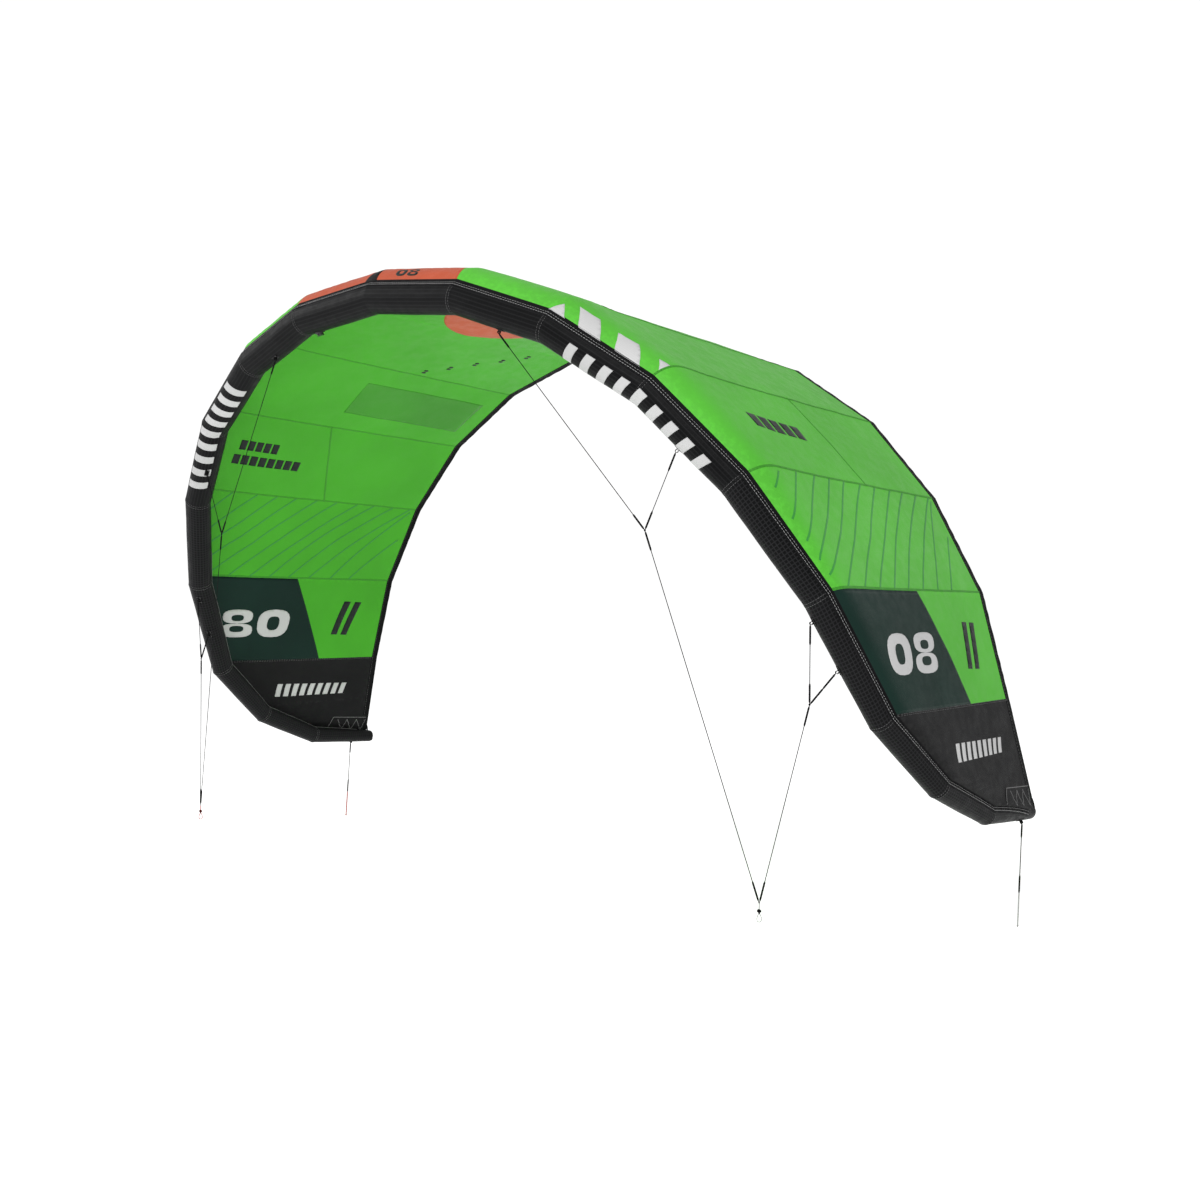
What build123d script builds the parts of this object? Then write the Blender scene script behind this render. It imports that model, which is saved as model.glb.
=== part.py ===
from build123d import *
import math
import os

# Kitesurf kite with an inflatable leading edge and no struts, in flying shape. Millimetres.
# Origin: axis of the leading-edge tube on the centre line. +X to the kite's right-hand tip,
# +Y from the leading edge to the trailing edge, +Z up.

# ---- driving dimensions -------------------------------------------------------------------
CENTRE_RADIUS = 61.0        # leading-edge tube at the centre line
# leading-edge panels from the centre to the tip:
# (length, slope below level seen from the front, sweep towards the trailing edge, end radius)
LEADING_PANELS = (
    (450.0, 5.5, 1.5, 62.0),
    (440.0, 18.5, 6.0, 61.6),
    (460.0, 32.0, 10.0, 60.0),
    (453.0, 47.0, 14.5, 57.0),
    (472.0, 60.0, 20.0, 54.0),
    (485.0, 74.0, 25.5, 49.0),
    (380.0, 78.5, 48.0, 44.0),
    (346.0, 87.0, 67.5, 40.0),
    (370.0, 114.0, 84.0, 29.0),
)
TIP_START = 6               # ring seam where the black tip panel begins
CASING_WALL = 1.5           # sewn polyester casing
BLADDER_GAP = 1.0           # between bladder and casing
BLADDER_WALL = 1.5

TRAILING_Y = 1610.0         # trailing edge behind the origin on the centre line
TRAILING_STEP = 6.0         # it comes forward by this much per ring seam
TRAILING_INSET = 40.0       # trailing edge inside the arch of the leading edge
TIP_CORNER = Vector(1955.0, 1584.0, -1953.0)
TRAILING_LIFTS = (0, 0, 0, 0, 0, 6, 17)     # the trailing edge is a little shorter than the tube
TIP_SHARES = (0.0, 0.52, 0.80, 1.0)         # how far the tip's ring seams reach down its edge
TIP_END = 8.8               # the cloth ends this far along the last panel

CLOTH = 2.0                 # canopy
SEAM_ANGLES = (115, 115, 115, 112, 100, 90, 80, 60, 45, 35)     # where the canopy meets the tube
CAMBERS = (68, 69, 71, 60, 51, 26, 21, 15, 8, 3)                # height of the canopy's hump
RISE_SHARE = 0.05           # how soon behind the tube the hump rises
SHOULDER = 1.2              # how much fuller it is there than further back
SHOULDER_SHARE = 0.08       # how soon that fullness dies out
HUMP_PEAK = 1.086           # highest value of the rise and fall together
FRONT_CROWDING = 1.6        # the curve's points stand closer together at the front
STATIONS = (0, 1, 2, 3, 4, 5, 6, 7, 8, TIP_END)

SEAM_GAP = 0.5              # half the gap that a seam leaves between two panels
CLEARANCE = 0.5             # between parts that are sewn together
CLOTH_STAND_OFF = 2.2       # between the round tube and the straight edge of the cloth
SEAM_TAPE_WIDTH = 30.0
SEAM_TAPE_THICK = 2.6
EDGE_TAPE_WIDTH = 34.0
EDGE_TAPE_THICK = 4.4
PATCH_STATIONS = (8.3, 8.55, TIP_END)
PATCH_HEIGHT = 38.0
PATCH_THICK = 1.4
STRAP_WIDTH = 12.0
STRAP_THICK = 1.6

LINE_DIAMETER = 3.0
PIGTAIL_DIAMETER = 4.0
SLEEVE_DIAMETER = 7.0
SLEEVE_LENGTH = 66.0
SLEEVE_FIT = 0.3
LINE_GAP = 6.0              # between a line's end and the point where lines meet
SLEEVE_GAP = 14.0
LOOP_RADIUS = 5.0
LOOP_WIRE = 1.2
LOOP_PATCH = (34.0, 20.0, 1.2)

ANCHORS = {           # panel, share of its length, angle round the tube
    "front_inner": (2, 0.545, -106.0),
    "front_outer": (4, 0.505, -114.0),
    "rear_inner": (6, 0.128, -146.0),
    "rear_outer": (6, 0.527, -141.0),
}
FRONT_JOIN = Vector(1228.0, 153.0, -899.0)      # ends of the front bridle's upper legs
REAR_JOIN = Vector(1745.0, 399.0, -1486.0)      # ends of the rear bridle's upper legs
PULL_KNOT = Vector(1613.0, 298.0, -2160.0)      # both lower lines meet here
FRONT_PIGTAIL_LENGTH = 64.0
TIP_ANCHOR = (9, 0.700, (0.50, 0.0, -0.87))     # panel, share of its length, direction
REAR_PIGTAIL_DROP = Vector(2.0, -32.0, -387.0)
REAR_SLEEVE_SHARES = ((0.0, 0.13), (0.50, 0.67))

VALVE_PANEL = 1
VALVE_SHARE = 0.86
VALVE_ANGLE = -72.0
VALVE_BORE = 8.0
VALVE_NECK_RADIUS = 13.0
VALVE_FLANGE_RADIUS = 21.0
VALVE_FLANGE_TOP = 3.0      # flange's upper face above the tube
VALVE_NECK_TOP = 11.0
FLANGE_REACH = 12.0         # the flange's skirt reaches down to the round tube
VALVE_LID_THICK = 3.0
LID_GAP = 0.4

SIDES = ("right", "left")
BASE = (Align.CENTER, Align.CENTER, Align.MIN)

os.makedirs("parts", exist_ok=True)


def save(shape, name):
    export_step(shape, f"parts/{name}.step")


def across(vector, axis):
    """The part of a vector that is square to an axis, at unit length."""
    return (vector - axis * vector.dot(axis)).normalized()


# ---- leading-edge line --------------------------------------------------------------------
def panel_vector(length, slope, sweep):
    slope = math.radians(slope)
    sweep = math.radians(sweep)
    level = length * math.cos(sweep)
    return Vector(level * math.cos(slope), length * math.sin(sweep), -level * math.sin(slope))


joints = [Vector(0, 0, 0)]
radii = [CENTRE_RADIUS]
for length, slope, sweep, end_radius in LEADING_PANELS:
    joints.append(joints[-1] + panel_vector(length, slope, sweep))
    radii.append(end_radius)
LAST = len(joints) - 1


def between(values, station):
    """Value at a station, which is a ring seam's number or a place between two of them."""
    i = min(int(station), len(values) - 2)
    return values[i] + (values[i + 1] - values[i]) * (station - i)


def panel_axis(panel):
    return (joints[panel] - joints[panel - 1]).normalized()


def seam_normal(i):
    """Normal of the mitre plane at ring seam i; the first one is the kite's centre plane."""
    if i == 0:
        return Vector(1, 0, 0)
    if i == LAST:
        return panel_axis(LAST)
    return (panel_axis(i) + panel_axis(i + 1)).normalized()


def front_outward(i):
    """Direction out of the arch at ring seam i, seen from the front."""
    normal = seam_normal(i)
    return Vector(-normal.Z, 0, normal.X).normalized()


def trailing_point(i):
    """Where ring seam i, or the canopy seam behind it, meets the trailing edge."""
    if i <= TIP_START:
        base = joints[i] - front_outward(i) * TRAILING_INSET
        return Vector(base.X, TRAILING_Y - TRAILING_STEP * i, base.Z + TRAILING_LIFTS[i])
    start = trailing_point(TIP_START)
    return start + (TIP_CORNER - start) * TIP_SHARES[i - TIP_START]


trailing = [trailing_point(i) for i in range(LAST + 1)]
normals = [seam_normal(i) for i in range(LAST + 1)]
outwards = [front_outward(min(i, TIP_START)) for i in range(LAST + 1)]


def tube_direction(panel, angle):
    """Direction square to a panel's axis: 0 degrees backwards, 90 degrees out of the arch."""
    axis = panel_axis(panel)
    back = across(Vector(0, 1, 0), axis)
    out = across(across(front_outward(panel), axis), back)
    angle = math.radians(angle)
    return back * math.cos(angle) + out * math.sin(angle)


def tube_point(panel, share, direction, stand_off=0.0):
    """Point on the tube's surface, in a direction from its axis."""
    return between(joints, panel - 1 + share) + direction * (between(radii, panel - 1 + share) + stand_off)


# ---- solids of the tube -------------------------------------------------------------------
def frustum(panel, shrink, reach=30.0):
    """A panel's cone, made longer than the panel at both ends."""
    axis = panel_axis(panel)
    length = (joints[panel] - joints[panel - 1]).length
    taper = (radii[panel] - radii[panel - 1]) / length
    bottom = radii[panel - 1] - shrink - taper * reach
    top = radii[panel] - shrink + taper * reach
    plane = Plane(origin=joints[panel - 1] - axis * reach, z_dir=axis)
    return plane * Cone(bottom, top, length + 2 * reach, align=BASE)


def half_space(origin, normal, size=1200.0):
    return Plane(origin=origin, z_dir=normal) * Box(size, size, size, align=BASE)


def mitred(panel, shape, gap):
    """Cut a panel's shape at the mitre planes of its two ring seams."""
    start = joints[panel - 1] + normals[panel - 1] * gap
    end = joints[panel] - normals[panel] * (gap if panel < LAST else 0.0)
    return shape & half_space(start, normals[panel - 1]) & half_space(end, -normals[panel])


def casing_panel(panel):
    return mitred(panel, frustum(panel, 0) - frustum(panel, CASING_WALL), SEAM_GAP)


def casing_end():
    """Disc that closes the casing at the tip."""
    plane = Plane(origin=joints[LAST] + normals[LAST] * CLEARANCE, z_dir=normals[LAST])
    return plane * Cylinder(radii[LAST], CASING_WALL, align=BASE)


def ring_frames():
    """Two directions square to the tube at each ring seam, carried along it without twist."""
    frames = []
    back = Vector(0, 1, 0)
    for normal in normals:
        back = across(back, normal)
        frames.append((back, normal.cross(back)))
    return frames


def tube_ring(i, radius, shift=0.0, points=16):
    """Closed curve round the tube in the mitre plane of ring seam i."""
    back, side = ring_frames()[i]
    axis = panel_axis(max(i, 1))
    ring = []
    for k in range(points):
        angle = 2 * math.pi * k / points
        offset = (back * math.cos(angle) + side * math.sin(angle)) * radius
        square = offset - axis * offset.dot(axis)
        square = square * (radius / square.length)
        ring.append(joints[i] + square - axis * (square.dot(normals[i]) / axis.dot(normals[i])) + axis * shift)
    return Wire([Edge.make_spline(ring, periodic=True)])


def half_tube(shrink, end_shift):
    rings = [tube_ring(i, radii[i] - shrink) for i in range(LAST)]
    rings.append(tube_ring(LAST, radii[LAST] - shrink, end_shift))
    return Solid.make_loft(rings, ruled=True)


def bladder(valve_way):
    """One sealed tube through the whole casing, open only under the valve."""
    outer = CASING_WALL + BLADDER_GAP
    right = half_tube(outer, -outer)
    hollow = half_tube(outer + BLADDER_WALL, -outer - BLADDER_WALL)
    skin = right + mirror(right, about=Plane.YZ)
    inside = hollow + mirror(hollow, about=Plane.YZ)
    return skin - inside - valve_way


# ---- canopy sections ----------------------------------------------------------------------
def section(station):
    """Start and end of the canopy's chord at a station, and directions along it and out of it."""
    centre = between(joints, station)
    axis = between(normals, station).normalized()
    end = between(trailing, station)
    toward = across(end - centre, axis)
    out = across(across(between(outwards, station), axis), toward)
    angle = math.radians(between(SEAM_ANGLES, station))
    direction = toward * math.cos(angle) + out * math.sin(angle)
    start = centre + direction * (between(radii, station) + CLOTH_STAND_OFF)
    along = (end - start).normalized()
    return start, end, along, across(out, along)


def chord_length(station):
    start, end, along, out = section(station)
    return (end - start).length


def section_point(station, distance, height):
    """Point at a distance along the chord and a height above the cloth's inside."""
    start, end, along, out = section(station)
    share = distance / (end - start).length
    fall = 1.0 - share + SHOULDER * math.exp(-share / SHOULDER_SHARE)
    hump = (1.0 - math.exp(-share / RISE_SHARE)) * fall / HUMP_PEAK
    return start + along * distance + out * (between(CAMBERS, station) * hump + height)


def cloth_band(station, first, last, low, high, steps):
    """Closed wire across the cloth: two curves along the chord, joined by two short ends."""
    distances = [first + (last - first) * (step / steps) ** FRONT_CROWDING for step in range(steps + 1)]
    lower = [section_point(station, d, low) for d in distances]
    upper = [section_point(station, d, high) for d in reversed(distances)]
    return Wire([
        Edge.make_spline(lower),
        Edge.make_line(lower[-1], upper[0]),
        Edge.make_spline(upper),
        Edge.make_line(upper[-1], lower[0]),
    ])


def cloth_panel(stations, steps=9):
    """Canopy panel through the given stations, from the seam tape to the edge tape."""
    middles = [section_point(s, chord_length(s) / 2, 0) for s in stations]
    wires = []
    for k, station in enumerate(stations):
        wire = cloth_band(station, SEAM_TAPE_WIDTH + 1, chord_length(station) - EDGE_TAPE_WIDTH - 1, 0, CLOTH, steps)
        if k == 0:
            wire = wire.moved(Location((middles[1] - middles[0]).normalized() * SEAM_GAP))
        elif k == len(stations) - 1:
            wire = wire.moved(Location((middles[-2] - middles[-1]).normalized() * SEAM_GAP))
        wires.append(wire)
    return Solid.make_loft(wires, ruled=True)


def tape(stations, first, last, low, high):
    """Strip along the canopy; first and last give its edges from the chord length."""
    wires = []
    for station in stations:
        chord = chord_length(station)
        corners = [(first(chord), low), (last(chord), low), (last(chord), high), (first(chord), high)]
        wires.append(Wire.make_polygon([section_point(station, d, h) for d, h in corners], close=True))
    return Solid.make_loft(wires, ruled=True)


def seam_tape():
    return tape(STATIONS, lambda chord: 0, lambda chord: SEAM_TAPE_WIDTH, 0, SEAM_TAPE_THICK)


def edge_tape():
    below = (CLOTH - EDGE_TAPE_THICK) / 2
    return tape(STATIONS, lambda chord: chord - EDGE_TAPE_WIDTH, lambda chord: chord, below, below + EDGE_TAPE_THICK)


def tip_strap():
    """Webbing from the end of the edge tape round the closed end of the tube."""
    corner = section_point(TIP_END, chord_length(TIP_END), CLOTH / 2)
    axis = normals[LAST]
    end = joints[LAST] + axis * (CLEARANCE + CASING_WALL + STRAP_THICK)
    rise = across(corner - end, axis)
    over = end + rise * (radii[LAST] + STRAP_THICK)
    wide = axis.cross(rise) * (STRAP_WIDTH / 2)
    profile = [corner + (over - corner).normalized() * CLEARANCE, over, end - rise * radii[LAST] * 0.6]
    plates = []
    for a, b in zip(profile, profile[1:]):
        thick = across(wide.cross(b - a), Vector(b - a).normalized()) * (STRAP_THICK / 2)
        faces = [[p + wide + thick, p - wide + thick, p - wide - thick, p + wide - thick] for p in (a, b)]
        plates.append(Solid.make_loft([Wire.make_polygon(f, close=True) for f in faces], ruled=True))
    return plates


def tip_patch():
    """Doubler on the outside of the tip panel, along the tube next to the trailing edge."""
    wires = []
    for station in PATCH_STATIONS:
        first = SEAM_TAPE_WIDTH + 1
        last = min(first + PATCH_HEIGHT, chord_length(station) - EDGE_TAPE_WIDTH - 1)
        low = CLOTH + CLEARANCE
        corners = [(first, low), (last, low), (last, low + PATCH_THICK), (first, low + PATCH_THICK)]
        wires.append(Wire.make_polygon([section_point(station, d, h) for d, h in corners], close=True))
    return Solid.make_loft(wires, ruled=True)


# ---- bridle -------------------------------------------------------------------------------
def straight(start, end, radius, bore=0.0):
    direction = (end - start).normalized()
    rod = Plane(origin=start, z_dir=direction) * Cylinder(radius, (end - start).length, align=BASE)
    if bore:
        rod -= Plane(origin=start, z_dir=direction) * Cylinder(bore, (end - start).length, align=BASE)
    return rod


def webbing_loop(panel, share, direction):
    """Patch sewn on the tube, with a small loop of webbing standing on it."""
    axis = panel_axis(panel)
    centre = between(joints, panel - 1 + share)
    radius = between(radii, panel - 1 + share)
    length, width, thick = LOOP_PATCH
    plane = Plane(origin=centre, z_dir=axis)
    shell = plane * Cylinder(radius + CLEARANCE + thick, length) - plane * Cylinder(radius + CLEARANCE, length)
    block = Plane(origin=centre, x_dir=axis, z_dir=direction) * Box(length, width, radius * 2, align=BASE)
    ring_centre = centre + direction * (radius + 2 * CLEARANCE + LOOP_RADIUS + LOOP_WIRE)
    ring = Plane(origin=ring_centre, x_dir=direction, z_dir=direction.cross(axis)) * Torus(LOOP_RADIUS, LOOP_WIRE)
    foot = centre + direction * (radius + CLEARANCE + thick / 2)
    post = Plane(origin=foot, z_dir=direction) * Cylinder(LOOP_WIRE * 2, LOOP_WIRE * 2, align=BASE)
    return (shell & block) + ring + post


def loop_end(panel, share, direction):
    """Where a line leaves the far side of a webbing loop."""
    return tube_point(panel, share, direction, 3 * CLEARANCE + 2 * (LOOP_RADIUS + LOOP_WIRE))


def line_between(start, end, gap_start, gap_end, diameter):
    direction = (end - start).normalized()
    return straight(start + direction * gap_start, end - direction * gap_end, diameter / 2)


def sleeve_on(start, end, offset):
    """Sleeve on the line from start to end, offset from start."""
    direction = (end - start).normalized()
    first = start + direction * offset
    bore = LINE_DIAMETER / 2 + SLEEVE_FIT
    return straight(first, first + direction * SLEEVE_LENGTH, SLEEVE_DIAMETER / 2, bore)


def rear_pigtail():
    """Line under the tip: sleeve, line, sleeve, and the end that the steering line ties to."""
    panel, share, direction = TIP_ANCHOR
    start = loop_end(panel, share, Vector(*direction).normalized())
    line = straight(start, start + REAR_PIGTAIL_DROP, PIGTAIL_DIAMETER / 2)
    for first, last in REAR_SLEEVE_SHARES:
        line += straight(start + REAR_PIGTAIL_DROP * first, start + REAR_PIGTAIL_DROP * last, SLEEVE_DIAMETER / 2)
    return line


# ---- inflation valve, under the left half next to the first ring seam ----------------------
def valve_frame():
    """Plane on the tube's surface at the valve, for the right half; the left one mirrors it."""
    direction = tube_direction(VALVE_PANEL, VALVE_ANGLE)
    return Plane(origin=tube_point(VALVE_PANEL, VALVE_SHARE, direction), x_dir=panel_axis(VALVE_PANEL), z_dir=direction)


def valve_base():
    plane = valve_frame()
    flange = Pos(0, 0, -FLANGE_REACH) * Cylinder(VALVE_FLANGE_RADIUS, FLANGE_REACH + VALVE_FLANGE_TOP, align=BASE)
    neck = Cylinder(VALVE_NECK_RADIUS, VALVE_NECK_TOP, align=BASE)
    ear = Pos(0, VALVE_NECK_RADIUS + 1, 0) * Box(7, 5, VALVE_NECK_TOP - 3, align=BASE)
    body = plane * (flange + neck + ear)
    body -= frustum(VALVE_PANEL, -CLEARANCE)
    return body - plane * Cylinder(VALVE_BORE, 60)


def valve_way():
    return valve_frame() * Cylinder(VALVE_BORE + 1.5, 60)


def valve_lid():
    lid = Pos(0, 0, VALVE_NECK_TOP + LID_GAP) * Cylinder(VALVE_NECK_RADIUS, VALVE_LID_THICK, align=BASE)
    tongue = Pos(0, VALVE_NECK_RADIUS, VALVE_NECK_TOP + LID_GAP) * Box(8, 6, VALVE_LID_THICK, align=BASE)
    lip = Pos(0, -VALVE_NECK_RADIUS, VALVE_NECK_TOP + LID_GAP) * Box(7, 5, VALVE_LID_THICK, align=BASE)
    return valve_frame() * (lid + tongue + lip)


# ---- build --------------------------------------------------------------------------------
def build_side(side):
    """Every sub-part of one half; the left half is the right one mirrored in the centre plane."""
    def put(name, *solids):
        solids = [mirror(s, about=Plane.YZ) if side == "left" else s for s in solids]
        save(solids[0] if len(solids) == 1 else Compound(solids), f"{name}_{side}")

    for panel in range(1, TIP_START + 1):
        casing = casing_panel(panel)
        if side == "left" and panel == VALVE_PANEL:
            casing -= valve_way()
        put(f"casing_{panel}", casing)
    put("casing_tip", *[casing_panel(panel) for panel in range(TIP_START + 1, LAST + 1)], casing_end())

    for panel in range(1, TIP_START + 1):
        put(f"canopy_{panel}", cloth_panel((panel - 1, panel)))
    put("canopy_tip", cloth_panel((6, 7, 8, TIP_END)))
    put("seam_tape", seam_tape())
    put("edge_tape", edge_tape(), *tip_strap())
    put("tip_patch", tip_patch())

    anchors = {name: (panel, share, tube_direction(panel, angle)) for name, (panel, share, angle) in ANCHORS.items()}
    tip_panel, tip_share, tip_direction = TIP_ANCHOR
    tip = (tip_panel, tip_share, Vector(*tip_direction).normalized())
    put("bridle_loops", *[webbing_loop(*place) for place in (*anchors.values(), tip)])

    upper_sleeves = []
    for name, place in anchors.items():
        start = loop_end(*place)
        end = FRONT_JOIN if name.startswith("front") else REAR_JOIN
        put(f"{name}_leg", line_between(start, end, LINE_DIAMETER / 2, LINE_GAP, LINE_DIAMETER))
        upper_sleeves.append(sleeve_on(start, end, 4))
        upper_sleeves.append(sleeve_on(end, start, SLEEVE_GAP))
    put("leg_sleeves", *upper_sleeves)

    lower_sleeves = []
    for name, start in (("front_lower_line", FRONT_JOIN), ("rear_lower_line", REAR_JOIN)):
        put(name, line_between(start, PULL_KNOT, LINE_GAP, LINE_GAP, LINE_DIAMETER))
        lower_sleeves.append(sleeve_on(start, PULL_KNOT, SLEEVE_GAP))
        lower_sleeves.append(sleeve_on(PULL_KNOT, start, SLEEVE_GAP))
    put("line_sleeves", *lower_sleeves)

    end = PULL_KNOT - Vector(0, 0, FRONT_PIGTAIL_LENGTH)
    put("front_pigtail", line_between(PULL_KNOT, end, LINE_GAP, 0, PIGTAIL_DIAMETER))
    put("rear_pigtail", rear_pigtail())


for side in SIDES:
    build_side(side)
save(bladder(mirror(valve_way(), about=Plane.YZ)), "bladder")
save(mirror(valve_base(), about=Plane.YZ), "valve_base")
save(mirror(valve_lid(), about=Plane.YZ), "valve_lid")
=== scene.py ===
import math

import bpy
import numpy as np
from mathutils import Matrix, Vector


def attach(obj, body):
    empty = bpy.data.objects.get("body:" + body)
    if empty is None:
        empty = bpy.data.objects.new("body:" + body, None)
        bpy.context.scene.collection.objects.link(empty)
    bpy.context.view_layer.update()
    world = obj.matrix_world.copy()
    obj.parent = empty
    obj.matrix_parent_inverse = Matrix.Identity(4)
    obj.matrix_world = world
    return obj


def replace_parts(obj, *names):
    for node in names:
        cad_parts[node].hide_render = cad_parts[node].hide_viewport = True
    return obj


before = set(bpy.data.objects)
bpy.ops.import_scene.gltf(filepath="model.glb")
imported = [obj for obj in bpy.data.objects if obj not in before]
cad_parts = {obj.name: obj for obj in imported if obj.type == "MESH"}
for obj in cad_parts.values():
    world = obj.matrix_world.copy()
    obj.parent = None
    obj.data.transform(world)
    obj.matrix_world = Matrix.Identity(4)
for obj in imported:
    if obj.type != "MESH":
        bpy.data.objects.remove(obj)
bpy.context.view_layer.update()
SIDES = (("right", 1.0), ("left", -1.0))

# ==== the kite's shape, the same as the CAD part's, in metres and degrees ====
# Stations count along the span: 0 is the centre line, 1 to 9 are the ring seams, and they are negative on the left.
LEADING_PANELS = (      # length, slope, sweep and outer radius of each panel of the tube, from the centre out
    (0.450, 5.5, 1.5, 0.0620),
    (0.440, 18.5, 6.0, 0.0616),
    (0.460, 32.0, 10.0, 0.0600),
    (0.453, 47.0, 14.5, 0.0570),
    (0.472, 60.0, 20.0, 0.0540),
    (0.485, 74.0, 25.5, 0.0490),
    (0.380, 78.5, 48.0, 0.0440),
    (0.346, 87.0, 67.5, 0.0400),
    (0.370, 114.0, 84.0, 0.0290),
)
CENTRE_RADIUS = 0.061
TIP_START = 6           # the black tips start here
TIP_END = 8.8           # the cloth ends here
TRAILING_Y = 1.610
TRAILING_STEP = 0.006
TRAILING_INSET = 0.040
TRAILING_LIFTS = (0, 0, 0, 0, 0, 0.006, 0.017)
TIP_CORNER = (1.955, 1.584, -1.953)
TIP_SHARES = (0.52, 0.80, 1.0)
SEAM_ANGLES = (115, 115, 115, 112, 100, 90, 80, 60, 45, 35)
CAMBERS = (0.068, 0.069, 0.071, 0.060, 0.051, 0.026, 0.021, 0.015, 0.008, 0.003)
RISE_SHARE = 0.05
SHOULDER = 1.2
SHOULDER_SHARE = 0.08
HUMP_PEAK = 1.086
CLOTH_STAND_OFF = 0.0022
EDGE_TAPE_WIDTH = 0.034


def unit(v):
    return v / np.linalg.norm(v, axis=-1, keepdims=True)


def square_to(v, axis):
    """The part of v that is square to axis, at unit length."""
    return unit(v - axis * (v * axis).sum(-1, keepdims=True))


def mirrored(points):
    return points * np.array([-1.0, 1.0, 1.0])


def smooth(x, low, high):
    t = np.clip((x - low) / (high - low), 0, 1)
    return t * t * (3 - 2 * t)


def run_lengths(points):
    """Length along a line, up to each of its points."""
    return np.concatenate([[0.0], np.cumsum(np.linalg.norm(np.diff(points, axis=0), axis=1))])


def share_of(a, b, share):
    """The point at a share of the way from a to b."""
    return tuple(p + (q - p) * share for p, q in zip(a, b))


def spaced(a, b, count):
    return [share_of(a, b, share) for share in np.linspace(0, 1, count)]


def circle(count):
    """Evenly spaced angles of one turn."""
    return np.linspace(0, 2 * math.pi, count + 1)[:-1]


def leading_line():
    points = [np.zeros(3)]
    for length, slope, sweep, _ in LEADING_PANELS:
        a, b = math.radians(slope), math.radians(sweep)
        level = length * math.cos(b)
        points.append(points[-1] + np.array([level * math.cos(a), length * math.sin(b), -level * math.sin(a)]))
    return np.array(points)


JOINTS = leading_line()
RADII = np.array([CENTRE_RADIUS] + [panel[-1] for panel in LEADING_PANELS])
LAST = len(JOINTS) - 1
AXES = unit(JOINTS[1:] - JOINTS[:-1])
PANEL_LENGTHS = np.linalg.norm(JOINTS[1:] - JOINTS[:-1], axis=1)
SEAM_GAPS = np.append(PANEL_LENGTHS, PANEL_LENGTHS[-1])
ARC = run_lengths(JOINTS)
NORMALS = np.array([[1.0, 0, 0], *unit(AXES[:-1] + AXES[1:]), AXES[-1]])
OUTWARDS = unit(NORMALS[:, [2, 1, 0]] * (-1.0, 0.0, 1.0))
OUTWARDS[TIP_START + 1:] = OUTWARDS[TIP_START]


def trailing_line():
    points = []
    for i in range(TIP_START + 1):
        base = JOINTS[i] - OUTWARDS[i] * TRAILING_INSET
        points.append(np.array([base[0], TRAILING_Y - TRAILING_STEP * i, base[2] + TRAILING_LIFTS[i]]))
    start = points[-1]
    return np.array(points + [start + (np.array(TIP_CORNER) - start) * share for share in TIP_SHARES])


TRAILING = trailing_line()


def between(values, station):
    """Values at stations, from one value for each ring seam."""
    values = np.asarray(values, float)
    station = np.asarray(station, float)
    i = np.clip(station.astype(int), 0, len(values) - 2)
    part = station - i
    if values.ndim > 1:
        part = part[..., None]
    return values[i] + (values[i + 1] - values[i]) * part


def section(station):
    """Start and end of the canopy's chord, and the directions along it and out of it."""
    centre = between(JOINTS, station)
    axis = unit(between(NORMALS, station))
    end = between(TRAILING, station)
    toward = square_to(end - centre, axis)
    out = square_to(square_to(between(OUTWARDS, station), axis), toward)
    angle = np.radians(between(SEAM_ANGLES, station))[..., None]
    direction = toward * np.cos(angle) + out * np.sin(angle)
    start = centre + direction * (between(RADII, station) + CLOTH_STAND_OFF)[..., None]
    along = unit(end - start)
    return start, end, along, square_to(out, along)


def chord(station):
    start, end, _, _ = section(np.asarray(station, float))
    return np.linalg.norm(end - start, axis=-1)


def seam_distance(station):
    """Distance along the span to the nearer ring seam."""
    part = station - np.floor(station)
    return np.minimum(part, 1 - part) * between(SEAM_GAPS, station)


SWELL, FRONT_PUCKER, SEAM_PUCKER, LONG_FOLD = 0.0055, 0.0011, 0.0006, 0.0011


def billow(station, distance, share):
    """What the cloth does between its seams: a slight swell, puckers beside the seams, and long folds."""
    edges = smooth(share, 0.02, 0.22) * smooth(1 - share, 0.02, 0.2)
    swell = SWELL * np.sin(np.pi * (station - np.floor(station))) * edges * smooth(7.2 - station, 0, 1.5)
    arc = between(ARC, station)
    front = FRONT_PUCKER * np.exp(-np.maximum(distance - 0.03, 0) / 0.07) * np.sin(arc * 88 + 3 * np.sin(arc * 23))
    front = front * smooth(distance, 0.012, 0.04)
    beside = np.exp(-seam_distance(station) / 0.03) * np.sin(distance * 95 + 4 * np.sin(distance * 17 + station))
    fold = np.sin(distance * 21 + station * 5.1) * np.sin(station * 9.7 + distance * 4)
    return swell + front + SEAM_PUCKER * beside * edges + LONG_FOLD * fold * edges


def cloth_point(station, distance, height):
    """Point at a distance along the chord and a height above the cloth's inside."""
    station = np.asarray(station, float)
    start, end, along, out = section(station)
    share = distance / np.linalg.norm(end - start, axis=-1)
    fall = 1.0 - share + SHOULDER * np.exp(-share / SHOULDER_SHARE)
    hump = between(CAMBERS, station) * (1.0 - np.exp(-share / RISE_SHARE)) * fall / HUMP_PEAK
    rise = hump + billow(station, distance, share) + height
    return start + along * distance[..., None] + out * rise[..., None]


# ==== camera ====
FOCAL_PIXELS, PHOTO_PIXELS, SENSOR = 1684, 1200, 36
camera = bpy.data.objects.new("camera", bpy.data.cameras.new("camera"))
bpy.context.collection.objects.link(camera)
camera.data.lens = FOCAL_PIXELS / PHOTO_PIXELS * SENSOR
camera.data.sensor_width = SENSOR
camera.location = (4.994, -4.260, -0.958)
camera.rotation_euler = (math.radians(88.23), 0, math.radians(42))
camera.data.clip_end = 200
bpy.context.scene.camera = camera


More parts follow.
